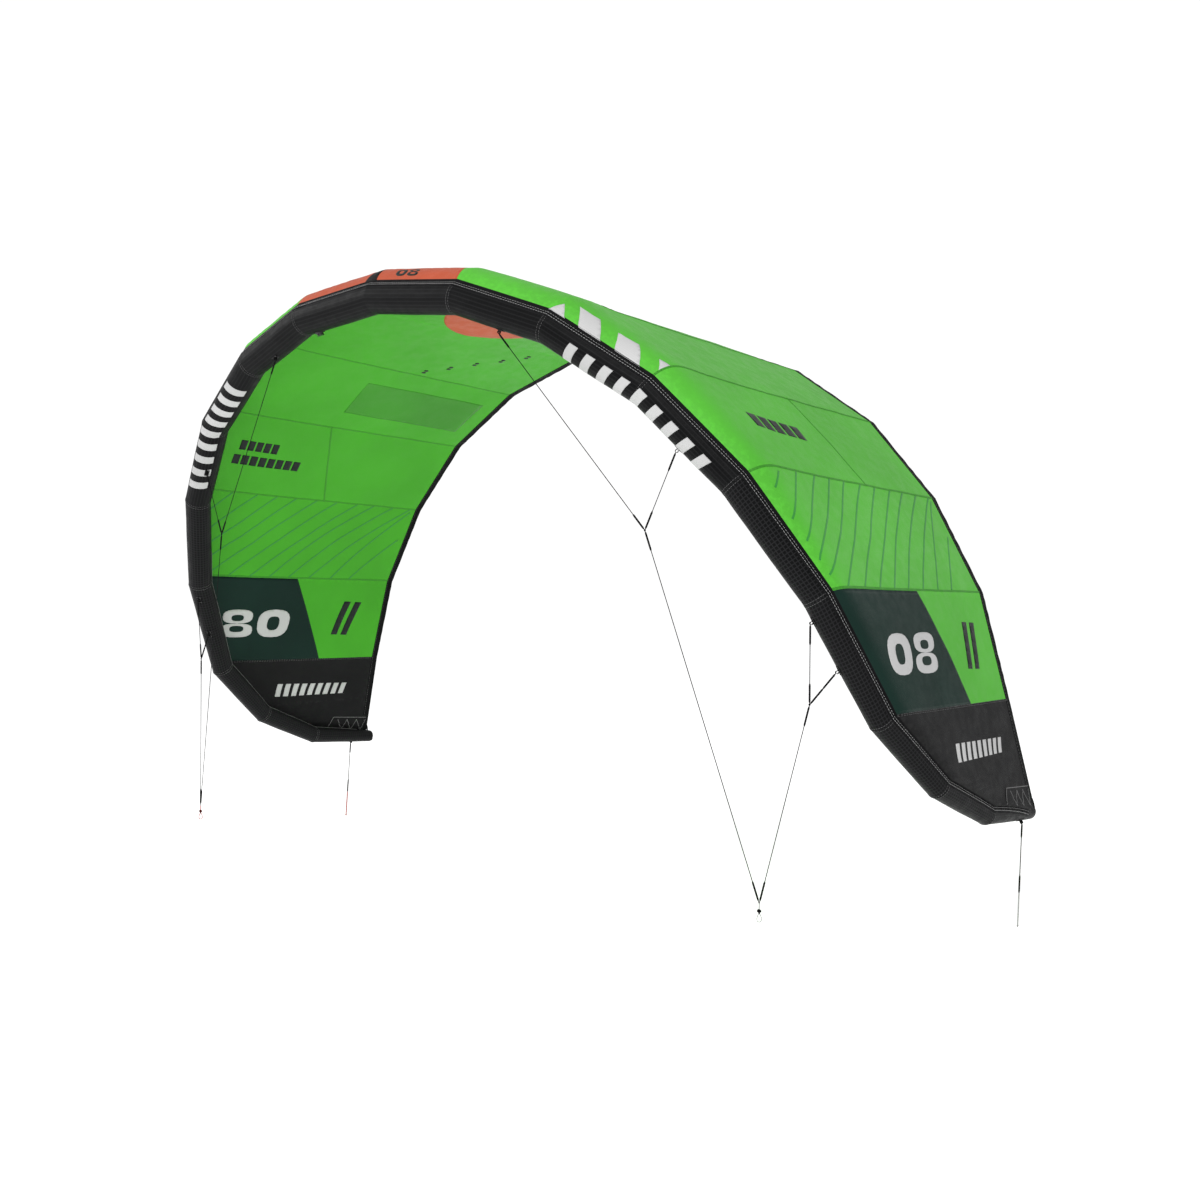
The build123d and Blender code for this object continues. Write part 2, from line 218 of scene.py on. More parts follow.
# ==== materials ====
class Nodes:
    """Builds one material's node tree; a method's result is the socket it makes."""

    def __init__(self, name, roughness, sheen=0.0, specular=0.5, coat=0.0):
        self.material = bpy.data.materials.new(name)
        self.material.use_nodes = True
        self.tree = self.material.node_tree
        self.shader = self.tree.nodes["Principled BSDF"]
        constants = {
            "Roughness": roughness, "Sheen Weight": sheen, "Sheen Roughness": 0.4, "Specular IOR Level": specular,
            "Coat Weight": coat, "Coat Roughness": 0.3,
        }
        for socket, value in constants.items():
            self.shader.inputs[socket].default_value = value

    def put(self, target, value):
        """Sets a socket to a number or a colour, or links another socket to it."""
        if isinstance(value, (int, float)):
            target.default_value = value
        elif isinstance(value, tuple):
            target.default_value = (*value, 1.0) if len(target.default_value) == 4 else value
        else:
            self.tree.links.new(value, target)

    def node(self, kind, inputs=(), **settings):
        made = self.tree.nodes.new(kind)
        for key, value in settings.items():
            setattr(made, key, value)
        for key, value in dict(inputs).items():
            self.put(made.inputs[key], value)
        return made

    def math(self, operation, a, b=0.0):
        return self.node("ShaderNodeMath", {0: a, 1: b}, operation=operation).outputs[0]

    def plus(self, a, b):
        return self.math("ADD", a, b)

    def times(self, a, b):
        return self.math("MULTIPLY", a, b)

    def wave(self, value, rate):
        return self.math("SINE", self.times(value, rate))

    def cloth(self):
        """Along and across the cloth, in metres."""
        uv = self.node("ShaderNodeUVMap", uv_map="cloth").outputs[0]
        return self.node("ShaderNodeSeparateXYZ", {0: uv}).outputs[:2]

    def place(self):
        return self.node("ShaderNodeTexCoord").outputs["Object"]

    def noise(self, scale, detail, stretch=None):
        where = self.place()
        if stretch:
            where = self.node("ShaderNodeVectorMath", {0: where, 1: stretch}, operation="MULTIPLY").outputs[0]
        return self.node("ShaderNodeTexNoise", {"Vector": where, "Scale": scale, "Detail": detail}).outputs["Fac"]

    def ramp(self, value, low, high, out_low=0.0, out_high=1.0):
        made = self.node("ShaderNodeMapRange", {0: value, 1: low, 2: high, 3: out_low, 4: out_high})
        made.interpolation_type = "SMOOTHSTEP"
        return made.outputs[0]

    def clouds(self, scale, detail, out_low=0.0, out_high=1.0):
        return self.ramp(self.noise(scale, detail), 0.3, 0.7, out_low, out_high)

    def rule(self, value, pitch, width):
        """1 on evenly spaced lines, 0 between them."""
        return self.ramp(self.math("PINGPONG", value, pitch / 2), width * 0.25, width * 0.75, 1.0, 0.0)

    def mix(self, factor, a, b):
        return self.node("ShaderNodeMix", ((0, factor), (6, a), (7, b)), data_type="RGBA").outputs[2]

    def mottled(self, colour, scale, low, high):
        return self.mix(self.clouds(scale, 4), scaled(colour, low), scaled(colour, high))

    def attribute(self, name):
        return self.node("ShaderNodeAttribute", attribute_name=name).outputs["Fac"]

    def wear(self, scale, detail, low, high):
        return self.times(self.attribute("worn"), self.ramp(self.noise(scale, detail), low, high))

    def finish(self, colour, roughness=None, height=None, bump=0.3, depth=0.001):
        self.put(self.shader.inputs["Base Color"], colour)
        if roughness is not None:
            self.put(self.shader.inputs["Roughness"], roughness)
        if height is not None:
            made = self.node("ShaderNodeBump", {"Strength": bump, "Distance": depth, "Height": height})
            self.put(self.shader.inputs["Normal"], made.outputs[0])
        return self.material


def scaled(colour, factor):
    return tuple(min(1.0, c * factor) for c in colour)


def ripstop(name, colour, roughness=0.46, sheen=0.02, contrast=0.06, faded=None, specular=0.13):
    """Thin coated cloth: a fine weave with a thicker thread every 5 mm, faintly mottled."""
    n = Nodes(name, roughness, sheen, specular)
    u, v = n.cloth()
    threads = n.math("MAXIMUM", n.rule(u, 0.005, 0.0008), n.rule(v, 0.005, 0.0008))
    weave = n.times(n.wave(u, 7400), n.wave(v, 7400))
    worn = n.wear(55, 4, 0.42, 0.66)
    base = n.mottled(colour, 2.6, 1 - contrast, 1 + contrast)
    base = n.mix(n.times(threads, 0.30), base, scaled(colour, 0.72))
    base = n.mix(n.times(worn, 0.35), base, faded or scaled(colour, 1.35))
    crease = n.noise(13, 5, (1.0, 0.35, 1.0))
    height = n.plus(n.plus(n.times(threads, 0.12), n.times(weave, 0.03)), n.times(crease, 0.4))
    rough = n.plus(n.clouds(24, 3, roughness - 0.06, roughness + 0.07), n.times(worn, 0.15))
    return n.finish(base, rough, height, 0.5, 0.0016)


CASING_BLACK = (0.0036, 0.0037, 0.0040)


def casing_cloth():
    """Heavy woven polyester of the tube: plain weave, a scrim of straight threads, and worn seams."""
    n = Nodes("casing_cloth", 0.5, specular=0.06)
    u, v = n.cloth()
    strength = n.attribute("scrim")
    lengthwise = n.times(n.rule(v, 0.0135, 0.0034), n.math("MAXIMUM", strength, 0.55))
    scrim = n.math("MAXIMUM", n.times(n.rule(u, 0.0135, 0.0034), strength), lengthwise)
    fine = n.math("MAXIMUM", n.rule(u, 0.0045, 0.0012), n.rule(v, 0.0045, 0.0012))
    weave = n.times(n.wave(u, 6200), n.wave(v, 6200))
    worn = n.wear(70, 5, 0.4, 0.65)
    base = n.mottled(CASING_BLACK, 3.2, 0.8, 1.25)
    base = n.mix(n.times(fine, 0.25), base, scaled(CASING_BLACK, 1.8))
    base = n.mix(n.times(scrim, 0.7), base, (0.021, 0.021, 0.0225))
    base = n.mix(n.times(worn, 0.5), base, (0.024, 0.024, 0.025))
    folds = n.noise(26, 4, (1.0, 0.5, 1.0))
    height = n.plus(n.plus(n.times(scrim, 0.25), n.times(weave, 0.05)), n.times(folds, 0.8))
    rough = n.plus(n.clouds(30, 3, 0.36, 0.5), n.times(worn, 0.2))
    return n.finish(base, rough, height, 0.45, 0.0014)


def webbing(name, colour, light):
    """Woven tape: a herringbone of ribs that lean to either side."""
    n = Nodes(name, 0.6, specular=0.06)
    u, v = n.cloth()
    rib = n.wave(n.plus(u, n.math("PINGPONG", v, 0.005)), 2 * math.pi / 0.0024)
    base = n.mottled(colour, 9, 0.8, 1.25)
    base = n.mix(n.ramp(rib, -1.0, 1.0, 0.0, 0.4), base, light)
    base = n.mix(n.times(n.wear(80, 4, 0.4, 0.65), 0.5), base, scaled(light, 1.6))
    return n.finish(base, n.clouds(40, 3, 0.52, 0.7), rib, 0.35, 0.0004)


def braid(name, colour, light, pitch=0.0032):
    """Braided cord: two sets of strands that cross, with a little fuzz."""
    n = Nodes(name, 0.62, specular=0.06)
    x, y, z = n.node("ShaderNodeSeparateXYZ", {0: n.place()}).outputs
    level = n.times(n.plus(x, y), 1.6)
    rate = 2 * math.pi / pitch
    strands = n.times(n.wave(n.plus(z, level), rate), n.wave(n.math("SUBTRACT", z, level), rate))
    base = n.mix(n.ramp(strands, -1.0, 1.0), colour, light)
    base = n.mix(n.times(n.ramp(n.noise(60, 3), 0.4, 0.8), 0.4), base, scaled(colour, 0.7))
    return n.finish(base, n.clouds(200, 2, 0.55, 0.75), strands, 0.5, 0.0005)


def moulded(name, colour, roughness, cloudy=0.12, coat=0.0, fine=900):
    """Moulded plastic or film: fine surface texture and slight handling marks."""
    n = Nodes(name, roughness, coat=coat)
    scuffs = n.ramp(n.noise(140, 6), 0.62, 0.75)
    base = n.mottled(colour, 30, 1 - cloudy, 1 + cloudy)
    base = n.mix(n.times(scuffs, 0.3), base, scaled(colour, 1.7))
    rough = n.plus(n.clouds(70, 3, roughness - 0.06, roughness + 0.08), n.times(scuffs, 0.15))
    return n.finish(base, rough, n.noise(fine, 2), 0.2, 0.0003)


LOOKS = {
    ripstop: (
        ("outer_green", (0.086, 0.440, 0.036)),
        # The inner face's green is the outer face's cloth painted darker: painted shade inside the arch, not a
        # different dye.
        ("inner_green", (0.056, 0.360, 0.017)),
        ("tip_black", (0.0085, 0.0085, 0.0090), 0.5, 0.01, 0.10, (0.035, 0.035, 0.035), 0.08),
        ("print_forest", (0.0075, 0.024, 0.0185), 0.4, 0.01, 0.12, None, 0.06),
        ("print_orange", (0.46, 0.083, 0.036), 0.46, 0.02, 0.07),
        ("print_light", (0.53, 0.53, 0.53), 0.44, 0.02, 0.05),
        ("print_shade", (0.044, 0.262, 0.018), 0.44, 0.02, 0.08),
        ("print_hatch", (0.042, 0.265, 0.046), 0.44, 0.02, 0.08),
        ("print_black", (0.012, 0.017, 0.015), 0.42, 0.02, 0.12),
        ("seam_green", (0.048, 0.275, 0.022), 0.5, 0.02, 0.06),
        ("bar_light", (0.50, 0.50, 0.50), 0.5, 0.02, 0.08),
    ),
    webbing: (("webbing", CASING_BLACK, (0.010, 0.010, 0.011)),),
    braid: (
        ("thread", (0.34, 0.34, 0.34), (0.50, 0.50, 0.50), 0.0016),
        ("thread_green", (0.055, 0.26, 0.03), (0.08, 0.33, 0.045), 0.0016),
        ("thread_dim", (0.14, 0.14, 0.14), (0.24, 0.24, 0.24), 0.0016),
        ("line", (0.005, 0.005, 0.0055), (0.014, 0.014, 0.015)),
        ("sleeve", (0.0035, 0.0035, 0.0038), (0.010, 0.010, 0.011), 0.0042),
        ("pigtail_white", (0.34, 0.34, 0.34), (0.52, 0.52, 0.51)),
        ("pigtail_maroon", (0.055, 0.010, 0.009), (0.12, 0.018, 0.015)),
        ("pigtail_red", (0.33, 0.02, 0.016), (0.55, 0.05, 0.038)),
    ),
    moulded: (
        ("valve", (0.02, 0.02, 0.021), 0.42),
        ("bladder", (0.60, 0.61, 0.58), 0.35, 0.06, 0.3, 400),
    ),
}
M = {look[0]: kind(*look) for kind, looks in LOOKS.items() for look in looks}
M["casing"] = casing_cloth()


# ==== meshes ====
def add_mesh(name, points, faces, uv, materials, slot, body="kite", kinds=None, **point_values):
    """uv has one row per point, or one per face corner. kinds has each face's place in materials."""
    points = np.asarray(points, float).reshape(-1, 3)
    mesh = bpy.data.meshes.new(name)
    mesh.from_pydata(points.tolist(), [], faces)
    uv = np.asarray(uv, float).reshape(-1, 2)
    if len(uv) == len(points):
        uv = uv[[i for face in faces for i in face]]
    mesh.uv_layers.new(name="cloth").data.foreach_set("uv", uv.ravel())
    for key, values in point_values.items():
        attribute = mesh.attributes.new(key, "FLOAT", "POINT")
        attribute.data.foreach_set("value", np.asarray(values, float).ravel())
    for material in materials:
        mesh.materials.append(M[material])
    if kinds is not None:
        mesh.polygons.foreach_set("material_index", kinds)
    mesh.polygons.foreach_set("use_smooth", np.ones(len(mesh.polygons), bool))
    mesh.validate()
    mesh.update()
    made = bpy.data.objects.new(name, mesh)
    bpy.context.collection.objects.link(made)
    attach(made, body)
    return made


def ring_faces(count, size, closed=False):
    """Quads between each ring of points and the next, as an array."""
    i = np.arange(count if closed else count - 1)[:, None]
    j = np.arange(size)[None, :]
    i2, j2 = (i + 1) % count, (j + 1) % size
    return np.stack([i * size + j, i2 * size + j, i2 * size + j2, i * size + j2], -1).reshape(-1, 4)


def tube_faces(count, size, closed=False):
    """The same as a list, with a cap at each open end."""
    faces = ring_faces(count, size, closed).tolist()
    if not closed:
        faces += [list(range(size)), list(range((count - 1) * size, count * size))[::-1]]
    return faces


def strip_uv(lengths, across):
    """Cloth co-ordinates of a cross-section carried along a line."""
    return np.stack([np.repeat(lengths, len(across)), np.tile(across, len(lengths))], -1)


def swept(line, sides, normals, lengths, profile):
    """A cross-section of (sideways, up) points carried along a line: points, faces and cloth co-ordinates."""
    profile = np.asarray(profile, float)
    points = line[:, None] + sides[:, None] * profile[None, :, :1] + normals[:, None] * profile[None, :, 1:]
    return points.reshape(-1, 3), tube_faces(*points.shape[:2]), strip_uv(lengths, profile[:, 0])


def webbing_strip(path, side, half_width, half_thick):
    """A flat strip along a path, with side as its sideways direction."""
    path = np.array(path)
    sides = np.tile(side, (len(path), 1))
    normals = unit(np.cross(sides, unit(np.gradient(path, axis=0))))
    w, t, edge = half_width, half_thick, half_width + 0.0003
    profile = [(-w, -t), (-edge, 0), (-w, t), (w, t), (edge, 0), (w, -t)]
    return swept(path, sides, normals, run_lengths(path), profile)


def on_side(sign, points, faces, uv):
    """A mesh of the right half, mirrored if sign is negative."""
    return (points, faces, uv) if sign > 0 else (mirrored(points), [face[::-1] for face in faces], uv)


class Pile:
    """Several bodies gathered in one mesh."""

    def __init__(self):
        self.points, self.faces, self.uv, self.count = [], [], [], 0

    def add(self, points, faces, uv=None):
        self.faces += [[i + self.count for i in face] for face in faces]
        self.points.append(points)
        self.uv.append(points[:, [0, 2]] if uv is None else uv)
        self.count += len(points)

    def make(self, name, material, slot, body="kite"):
        uv, worn = np.concatenate(self.uv), np.zeros(self.count)
        return add_mesh(name, np.concatenate(self.points), self.faces, uv, (material,), slot, body, worn=worn)


def cut(polygon, axis, value, above):
    """The part of a polygon on one side of a whole-number line."""
    kept = []
    for a, b in zip(polygon, polygon[1:] + polygon[:1]):
        a_in, b_in = ((p[axis] >= value) == above or p[axis] == value for p in (a, b))
        if a_in:
            kept.append(a)
        if a_in != b_in and a[axis] != value and b[axis] != value:
            kept.append(share_of(a, b, (value - a[axis]) / (b[axis] - a[axis])))
    return kept


def cells(polygon):
    """The polygon's pieces between the whole-number lines both ways."""
    pieces = [polygon]
    for axis in (0, 1):
        parts = []
        for piece in pieces:
            values = [p[axis] for p in piece]
            for value in range(math.floor(min(values)), math.ceil(max(values))):
                parts.append(cut(cut(piece, axis, value, True), axis, value + 1, False))
        pieces = [part for part in parts if len(part) > 2]
    return pieces


class Skin:
    """A surface made of a grid of points, which prints, tapes and stitches are laid on."""

    def __init__(self, stations, points, normals, uv, row, closed=False):
        self.stations, self.points, self.normals, self.uv = stations, points, normals, uv
        self.row, self.closed = row, closed
        across = np.cross(points[1:, :-1] - points[:-1, :-1], points[:-1, 1:] - points[:-1, :-1])
        self.turn = np.sign(np.median((across * normals[:-1, :-1]).sum(-1)))

    def chart(self, places):
        """Column and row of each (station, second co-ordinate)."""
        places = np.asarray(places, float)
        column = np.interp(places[:, 0], self.stations, np.arange(len(self.stations)))
        return np.stack([column, self.row(places[:, 0], places[:, 1])], -1)

    def at(self, chart, lift=0.0):
        """Points, normals and cloth co-ordinates at columns and rows."""
        c, r = np.asarray(chart, float).T
        rows = self.points.shape[1] - 1
        r = r % rows if self.closed else np.clip(r, 0, rows)
        i, j = np.clip(c.astype(int), 0, len(self.stations) - 2), np.clip(r.astype(int), 0, rows - 1)
        a, b = np.clip(c - i, 0, 1)[:, None], (r - j)[:, None]

        def blend(grid):
            near, far = (grid[i, k] * (1 - a) + grid[i + 1, k] * a for k in (j, j + 1))
            return near * (1 - b) + far * b

        normal = unit(blend(self.normals))
        return blend(self.points) + normal * lift, normal, blend(self.uv)

    def along(self, places, step=0.012):
        """Points, sideways directions, normals, directions ahead and lengths along a line through places."""
        places = np.asarray(places, float)
        share = np.linspace(0, len(places) - 1, 60 * (len(places) - 1) + 1)
        dense = np.stack([np.interp(share, np.arange(len(places)), places[:, k]) for k in (0, 1)], -1)
        length = run_lengths(self.at(self.chart(dense))[0])
        count = max(2, int(round(length[-1] / step)) + 1)
        wanted = np.linspace(0, length[-1], count)
        dense = np.stack([np.interp(wanted, length, dense[:, k]) for k in (0, 1)], -1)
        points, normals, _ = self.at(self.chart(dense))
        ahead = unit(np.gradient(points, axis=0))
        return points, unit(np.cross(ahead, normals)), normals, ahead, wanted


OUTLINE_STEPS = 16      # a print's outline follows the skin at this many points per station or chord
DEGREE_SHARE = 0.005    # a degree round the tube, as a share of that


def lay_print(name, layers, material, slot, lift):
    """Ink or film on the cloth: each layer is a skin and its polygons, cut along the skin's own grid."""
    points, uvs, faces, count = [], [], [], 0
    for skin, polygons in layers:
        index, charts = {}, []
        for polygon in polygons:
            outline = []
            for a, b in zip(polygon, polygon[1:] + polygon[:1]):
                far = max(abs(a[0] - b[0]), abs(a[1] - b[1]) * (DEGREE_SHARE if skin.closed else 1))
                steps = 1 + int(far * OUTLINE_STEPS)
                outline += [tuple(p + (q - p) * k / steps for p, q in zip(a, b)) for k in range(steps)]
            outline = [tuple(p) for p in skin.chart(outline)]
            area = sum(a[0] * b[1] - a[1] * b[0] for a, b in zip(outline, outline[1:] + outline[:1]))
            for piece in cells(outline):
                face = []
                for c, r in piece:
                    key = (round(c, 3), round(r, 3))
                    if key not in index:
                        index[key] = count + len(charts)
                        charts.append((c, r))
                    if not face or face[-1] != index[key]:
                        face.append(index[key])
                if len(face) > 1 and face[0] == face[-1]:
                    face.pop()
                if len(set(face)) == len(face) and len(face) > 2:
                    faces.append(face if area * skin.turn > 0 else face[::-1])
        laid, _, uv = skin.at(charts, lift)
        points.append(laid)
        uvs.append(uv)
        count += len(charts)
    made = add_mesh(
        name, np.concatenate(points), faces, np.concatenate(uvs), (material,), slot, worn=np.zeros(count),
    )
    film = made.modifiers.new("film", "SOLIDIFY")
    film.thickness = lift * 0.9
    film.offset = -1
    return made


def lay_bands(name, lines, size, material, slot):
    """Low ridges along lines on a skin; size is their width and their lowest and highest height."""
    width, low, high = size
    half, middle = width / 2, (low + high) / 2
    shoulder = min(width * 0.25, high - low)
    profile = [
        (-half, low), (-half, middle), (-half + shoulder, high), (half - shoulder, high), (half, middle), (half, low),
    ]
    pile = Pile()
    for skin, line in lines:
        points, sides, normals, _, lengths = skin.along(line)
        pile.add(*swept(points, sides, normals, lengths, profile))
    return pile.make(name, material, slot)


STITCH_SPREAD = np.array([-0.5, -0.32, 0.32, 0.5])
STITCH_GIRTH = np.array([0.25, 0.5, 0.5, 0.25])
STITCH_ROUND = np.radians([0, 90, 180, 270])
STITCH_FLATNESS = 1.3


def lay_stitches(name, lines, material, slot, size):
    """Rows of stitches, (skin, line, sideways offset, height); size is their pitch, length and thickness."""
    pitch, length, thick = size
    wide = STITCH_GIRTH[:, None] * np.cos(STITCH_ROUND) * thick * STITCH_FLATNESS
    high = STITCH_GIRTH[:, None] * np.sin(STITCH_ROUND) * thick
    one = np.array(tube_faces(4, 4))
    pile = Pile()
    for skin, line, aside, height in lines:
        points, sides, normals, ahead, _ = (x[:, None, None] for x in skin.along(line, pitch))
        forms = (
            points + sides * aside + normals * height + ahead * (STITCH_SPREAD * length)[None, :, None, None]
            + sides * wide[None, :, :, None] + normals * high[None, :, :, None]
        )
        faces = one[None] + np.arange(len(points))[:, None, None] * 16
        pile.add(forms.reshape(-1, 3), faces.reshape(-1, 4).tolist())
    return pile.make(name, material, slot)


def both_ways(half):
    """Stations of the right half, with the same ones on the left before them."""
    return np.concatenate([-half[:0:-1], half])


# ==== the tube ====
TUBE_ROWS = 72
RING_OFFSETS = (0, 0.0025, 0.005, 0.0075, 0.011, 0.017, 0.025, 0.034)
RING_SPACING = 0.011
RING_RIDGE, PLEAT_DEPTH, PANEL_SWELL, PANEL_RIPPLE = 0.0008, 0.0013, 0.0008, 0.0004
END_START = 0.008       # where the closed end of the tube starts to round in
END_DOME = 0.004
END_FLATNESS = 0.35     # lower is flatter, so that the end covers the bladder's corner
END_TURNS = (0, 14, 28, 42, 54, 65, 75, 82, 86, 88.6)
END_PLEAT = 0.012
END_WEAR = 0.6
END_UV = (0.004, 0.045)
TUBE_GIRTH = 0.055      # cloth across the tube for each radian
SCRIM_START = (3.95, 4.05)
FAINT_SCRIM = 0.12


def tube_frames():
    """Two directions square to each panel, mirrored in each ring seam's plane from one panel to the next."""
    back = [square_to(np.array([0, 1.0, 0]), AXES[0])]
    side = [np.cross(AXES[0], back[0])]
    for normal in NORMALS[1:LAST]:
        for found in (back, side):
            found.append(found[-1] - 2 * normal * (normal @ found[-1]))
    return np.array(back), np.array(side)


BACKS, SIDEWAYS = tube_frames()


def tube_stations():
    """Rings of the right half, close together beside the ring seams."""
    stations = []
    for panel, length in enumerate(PANEL_LENGTHS):
        count = int((length - 2 * RING_OFFSETS[-1]) / RING_SPACING) + 1
        plain = np.linspace(RING_OFFSETS[-1], length - RING_OFFSETS[-1], count)
        offsets = [*RING_OFFSETS, *plain[1:-1], *(length - offset for offset in reversed(RING_OFFSETS[1:]))]
        stations += [panel + offset / length for offset in offsets]
    return np.array([s for s in stations if s < LAST - END_START / PANEL_LENGTHS[-1]])


def tube_surface(stations):
    """Points, outward directions and wear of the right half's tube, and the angles of its rows."""
    angles = np.radians(np.linspace(0, 360, TUBE_ROWS + 1))
    panel = np.clip(stations.astype(int), 0, LAST - 1)
    t = stations - panel
    back, side, axis = BACKS[panel], SIDEWAYS[panel], AXES[panel]
    out = back[:, None] * np.cos(angles)[:, None] + side[:, None] * np.sin(angles)[:, None]
    to_first, to_last = (
        -(out * NORMALS[joint][:, None]).sum(-1) * RADII[joint][:, None] / (axis * NORMALS[joint]).sum(-1)[:, None]
        for joint in (panel, panel + 1)
    )
    to_last = np.where((panel == LAST - 1)[:, None], 0, to_last)
    shift = to_first + (to_last - to_first) * t[:, None]
    length = PANEL_LENGTHS[panel]
    near = np.minimum(t, 1 - t) * length
    near = np.where((panel == 0) & (t < 0.5), 1.0, near)
    near = np.where((panel == LAST - 1) & (t > 0.5), 1.0, near)
    near, arc = near[:, None], between(ARC, stations)[:, None]
    inner = 0.5 - 0.5 * np.sin(angles)[None]
    joint = np.round(stations)[:, None]
    pleat = np.sin(angles * 13 + joint * 1.7 + 1.2 * np.sin(angles * 5 + joint))
    pleats = np.exp(-near / 0.045) * (0.5 + 0.5 * pleat) * (0.25 + 0.75 * inner) * smooth(near, 0.002, 0.011)
    relief = RING_RIDGE * np.exp(-(near / 0.003) ** 2) - PLEAT_DEPTH * pleats
    relief = relief + PANEL_SWELL * np.sin(np.pi * t)[:, None]
    relief = relief + PANEL_RIPPLE * np.sin(arc * 31 + angles * 3) * np.sin(angles * 4 + arc * 5)
    points = JOINTS[panel][:, None] + axis[:, None] * (length * t)[:, None, None]
    points = points + out * (between(RADII, stations)[:, None] + relief)[..., None] + axis[:, None] * shift[..., None]
    return points, out, np.exp(-near / 0.006) * np.ones_like(inner), angles


def end_profile(turn):
    """Distance along the last panel and share of the radius on the rounded end."""
    along = PANEL_LENGTHS[-1] - END_START + (END_START + END_DOME) * math.sin(turn)
    return along, math.copysign(abs(math.cos(turn)) ** END_FLATNESS, math.cos(turn))


def tube_end(angles):
    """Rings of the rounded end, from the side of the tube to near its apex."""
    rings = []
    out = BACKS[-1] * np.cos(angles)[:, None] + SIDEWAYS[-1] * np.sin(angles)[:, None]
    for turn in np.radians(END_TURNS):
        along, share = end_profile(turn)
        local = RADII[-1] + (1 - along / PANEL_LENGTHS[-1]) * (RADII[-2] - RADII[-1])
        pleat = 1 + END_PLEAT * math.sin(turn) ** 2 * np.sin(angles * 11)[:, None]
        rings.append(JOINTS[-2] + AXES[-1] * along + out * local * share * pleat)
    return np.array(rings)


def signed_arc(stations):
    """Length along the tube from the centre line, negative on the left half."""
    return np.sign(stations) * between(ARC, np.abs(stations))


right_rings = tube_stations()
surface, outs, worn, angles = tube_surface(right_rings)
tube_ends = tube_end(angles)
rings_at = both_ways(right_rings)
tube_points = np.concatenate([mirrored(surface[:0:-1]), surface])
tube_outs = np.concatenate([mirrored(outs[:0:-1]), outs])
tube_arc = signed_arc(rings_at)
tube_uv = np.stack(np.broadcast_arrays(tube_arc[:, None], TUBE_GIRTH * angles[None]), -1)
TUBE = Skin(rings_at, tube_points, tube_outs, tube_uv, lambda s, angle: np.asarray(angle) / 360 * TUBE_ROWS, True)


def leading_edge():
    """One casing from tip to tip, closed at both ends."""
    rows = TUBE_ROWS
    rings = np.concatenate([mirrored(tube_ends[::-1, :-1]), tube_points[:, :-1], tube_ends[:, :-1]])
    count, lead = len(rings), len(tube_ends)
    apex = JOINTS[-2] + AXES[-1] * (PANEL_LENGTHS[-1] + END_DOME)
    points = np.concatenate([rings.reshape(-1, 3), [mirrored(apex), apex]])
    first, last, far = len(points) - 2, len(points) - 1, (count - 1) * rows
    ring = np.arange(rows)
    pairs = list(zip(ring.tolist(), ((ring + 1) % rows).tolist()))
    fans = [[first, a, b] for a, b in pairs] + [[last, b + far, a + far] for a, b in pairs]
    cap = np.linspace(*END_UV, lead)
    arc = np.concatenate([tube_arc[0] - cap[::-1], tube_arc, tube_arc[-1] + cap])
    step = TUBE_GIRTH * angles[1]
    column, row = np.repeat(np.arange(count - 1), rows), np.tile(ring, count - 1)
    corners = [np.stack([arc[column + a], (row + b) * step], -1) for a, b in ((0, 0), (1, 0), (1, 1), (0, 1))]
    fan_uv = []
    for face in fans:
        end, inward = (arc[0] - 0.01, 0.01) if face[0] == first else (arc[-1] + 0.01, -0.01)
        fan_uv += [(end, 0.2) if i >= first else (end + inward, (i % rows) * step) for i in face]
    wear, scrim = np.full((count, rows), END_WEAR), np.ones((count, rows))
    wear[lead:-lead] = np.concatenate([worn[:0:-1], worn])[:, :-1]
    scrim[lead:-lead] = (FAINT_SCRIM + (1 - FAINT_SCRIM) * smooth(np.abs(rings_at), *SCRIM_START))[:, None]
    made = add_mesh(
        "leading_edge_skin", points, ring_faces(count, rows).tolist() + fans,
        np.concatenate([np.stack(corners, 1).reshape(-1, 2), fan_uv]), ("casing",), "casing",
        worn=np.append(wear, [1, 1]), scrim=np.append(scrim, [1, 1]),
    )
    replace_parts(made, *[f"casing_{k}_{side}" for side, _ in SIDES for k in [*range(1, TIP_START + 1), "tip"]])


leading_edge()

# ==== the canopy ====
CANOPY_ROWS = 84
CANOPY_START = 0.003
CANOPY_STOP = 0.012
CROWD = 1.35            # rows are closer together at the tube
INNER_HEIGHT, OUTER_HEIGHT = 0.0003, 0.0017

right_columns = [p + np.linspace(0, 1, 27)[:-1] for p in range(8)] + [np.linspace(8, TIP_END, 21)]
signed = both_ways(np.concatenate(right_columns))
HAND = np.where(signed < 0, -1.0, 1.0)[:, None]
lengths = chord(np.abs(signed))
steps = np.linspace(0, 1, CANOPY_ROWS + 1) ** CROWD
distances = CANOPY_START + (lengths[:, None] - CANOPY_START - CANOPY_STOP) * steps[None]


def handed(points):
    """Moves the columns of the left half's stations over to its side."""
    points[..., 0] *= HAND
    return points


def cloth_grid(distances, height):
    """Points on the cloth, a column for each station and its own row of distances."""
    return handed(cloth_point(np.repeat(np.abs(signed)[:, None], distances.shape[1], 1), distances, height))


def canopy_row(station, share):
    length = chord(np.abs(station))
    t = np.clip((share * length - CANOPY_START) / (length - CANOPY_START - CANOPY_STOP), 0, 1)
    return t ** (1 / CROWD) * CANOPY_ROWS


outer = cloth_grid(distances, OUTER_HEIGHT)
inner = cloth_grid(distances, INNER_HEIGHT)
cloth_arc = signed_arc(signed)
cloth_uv = np.stack(np.broadcast_arrays(cloth_arc[:, None], distances), -1)
facing = unit(np.cross(np.gradient(outer, axis=0), np.gradient(outer, axis=1)))
facing = facing * np.sign((facing * (outer - inner)).sum(-1, keepdims=True))
OUTER = Skin(signed, outer, facing, cloth_uv, canopy_row)
INNER = Skin(signed, inner, -facing, cloth_uv, canopy_row)


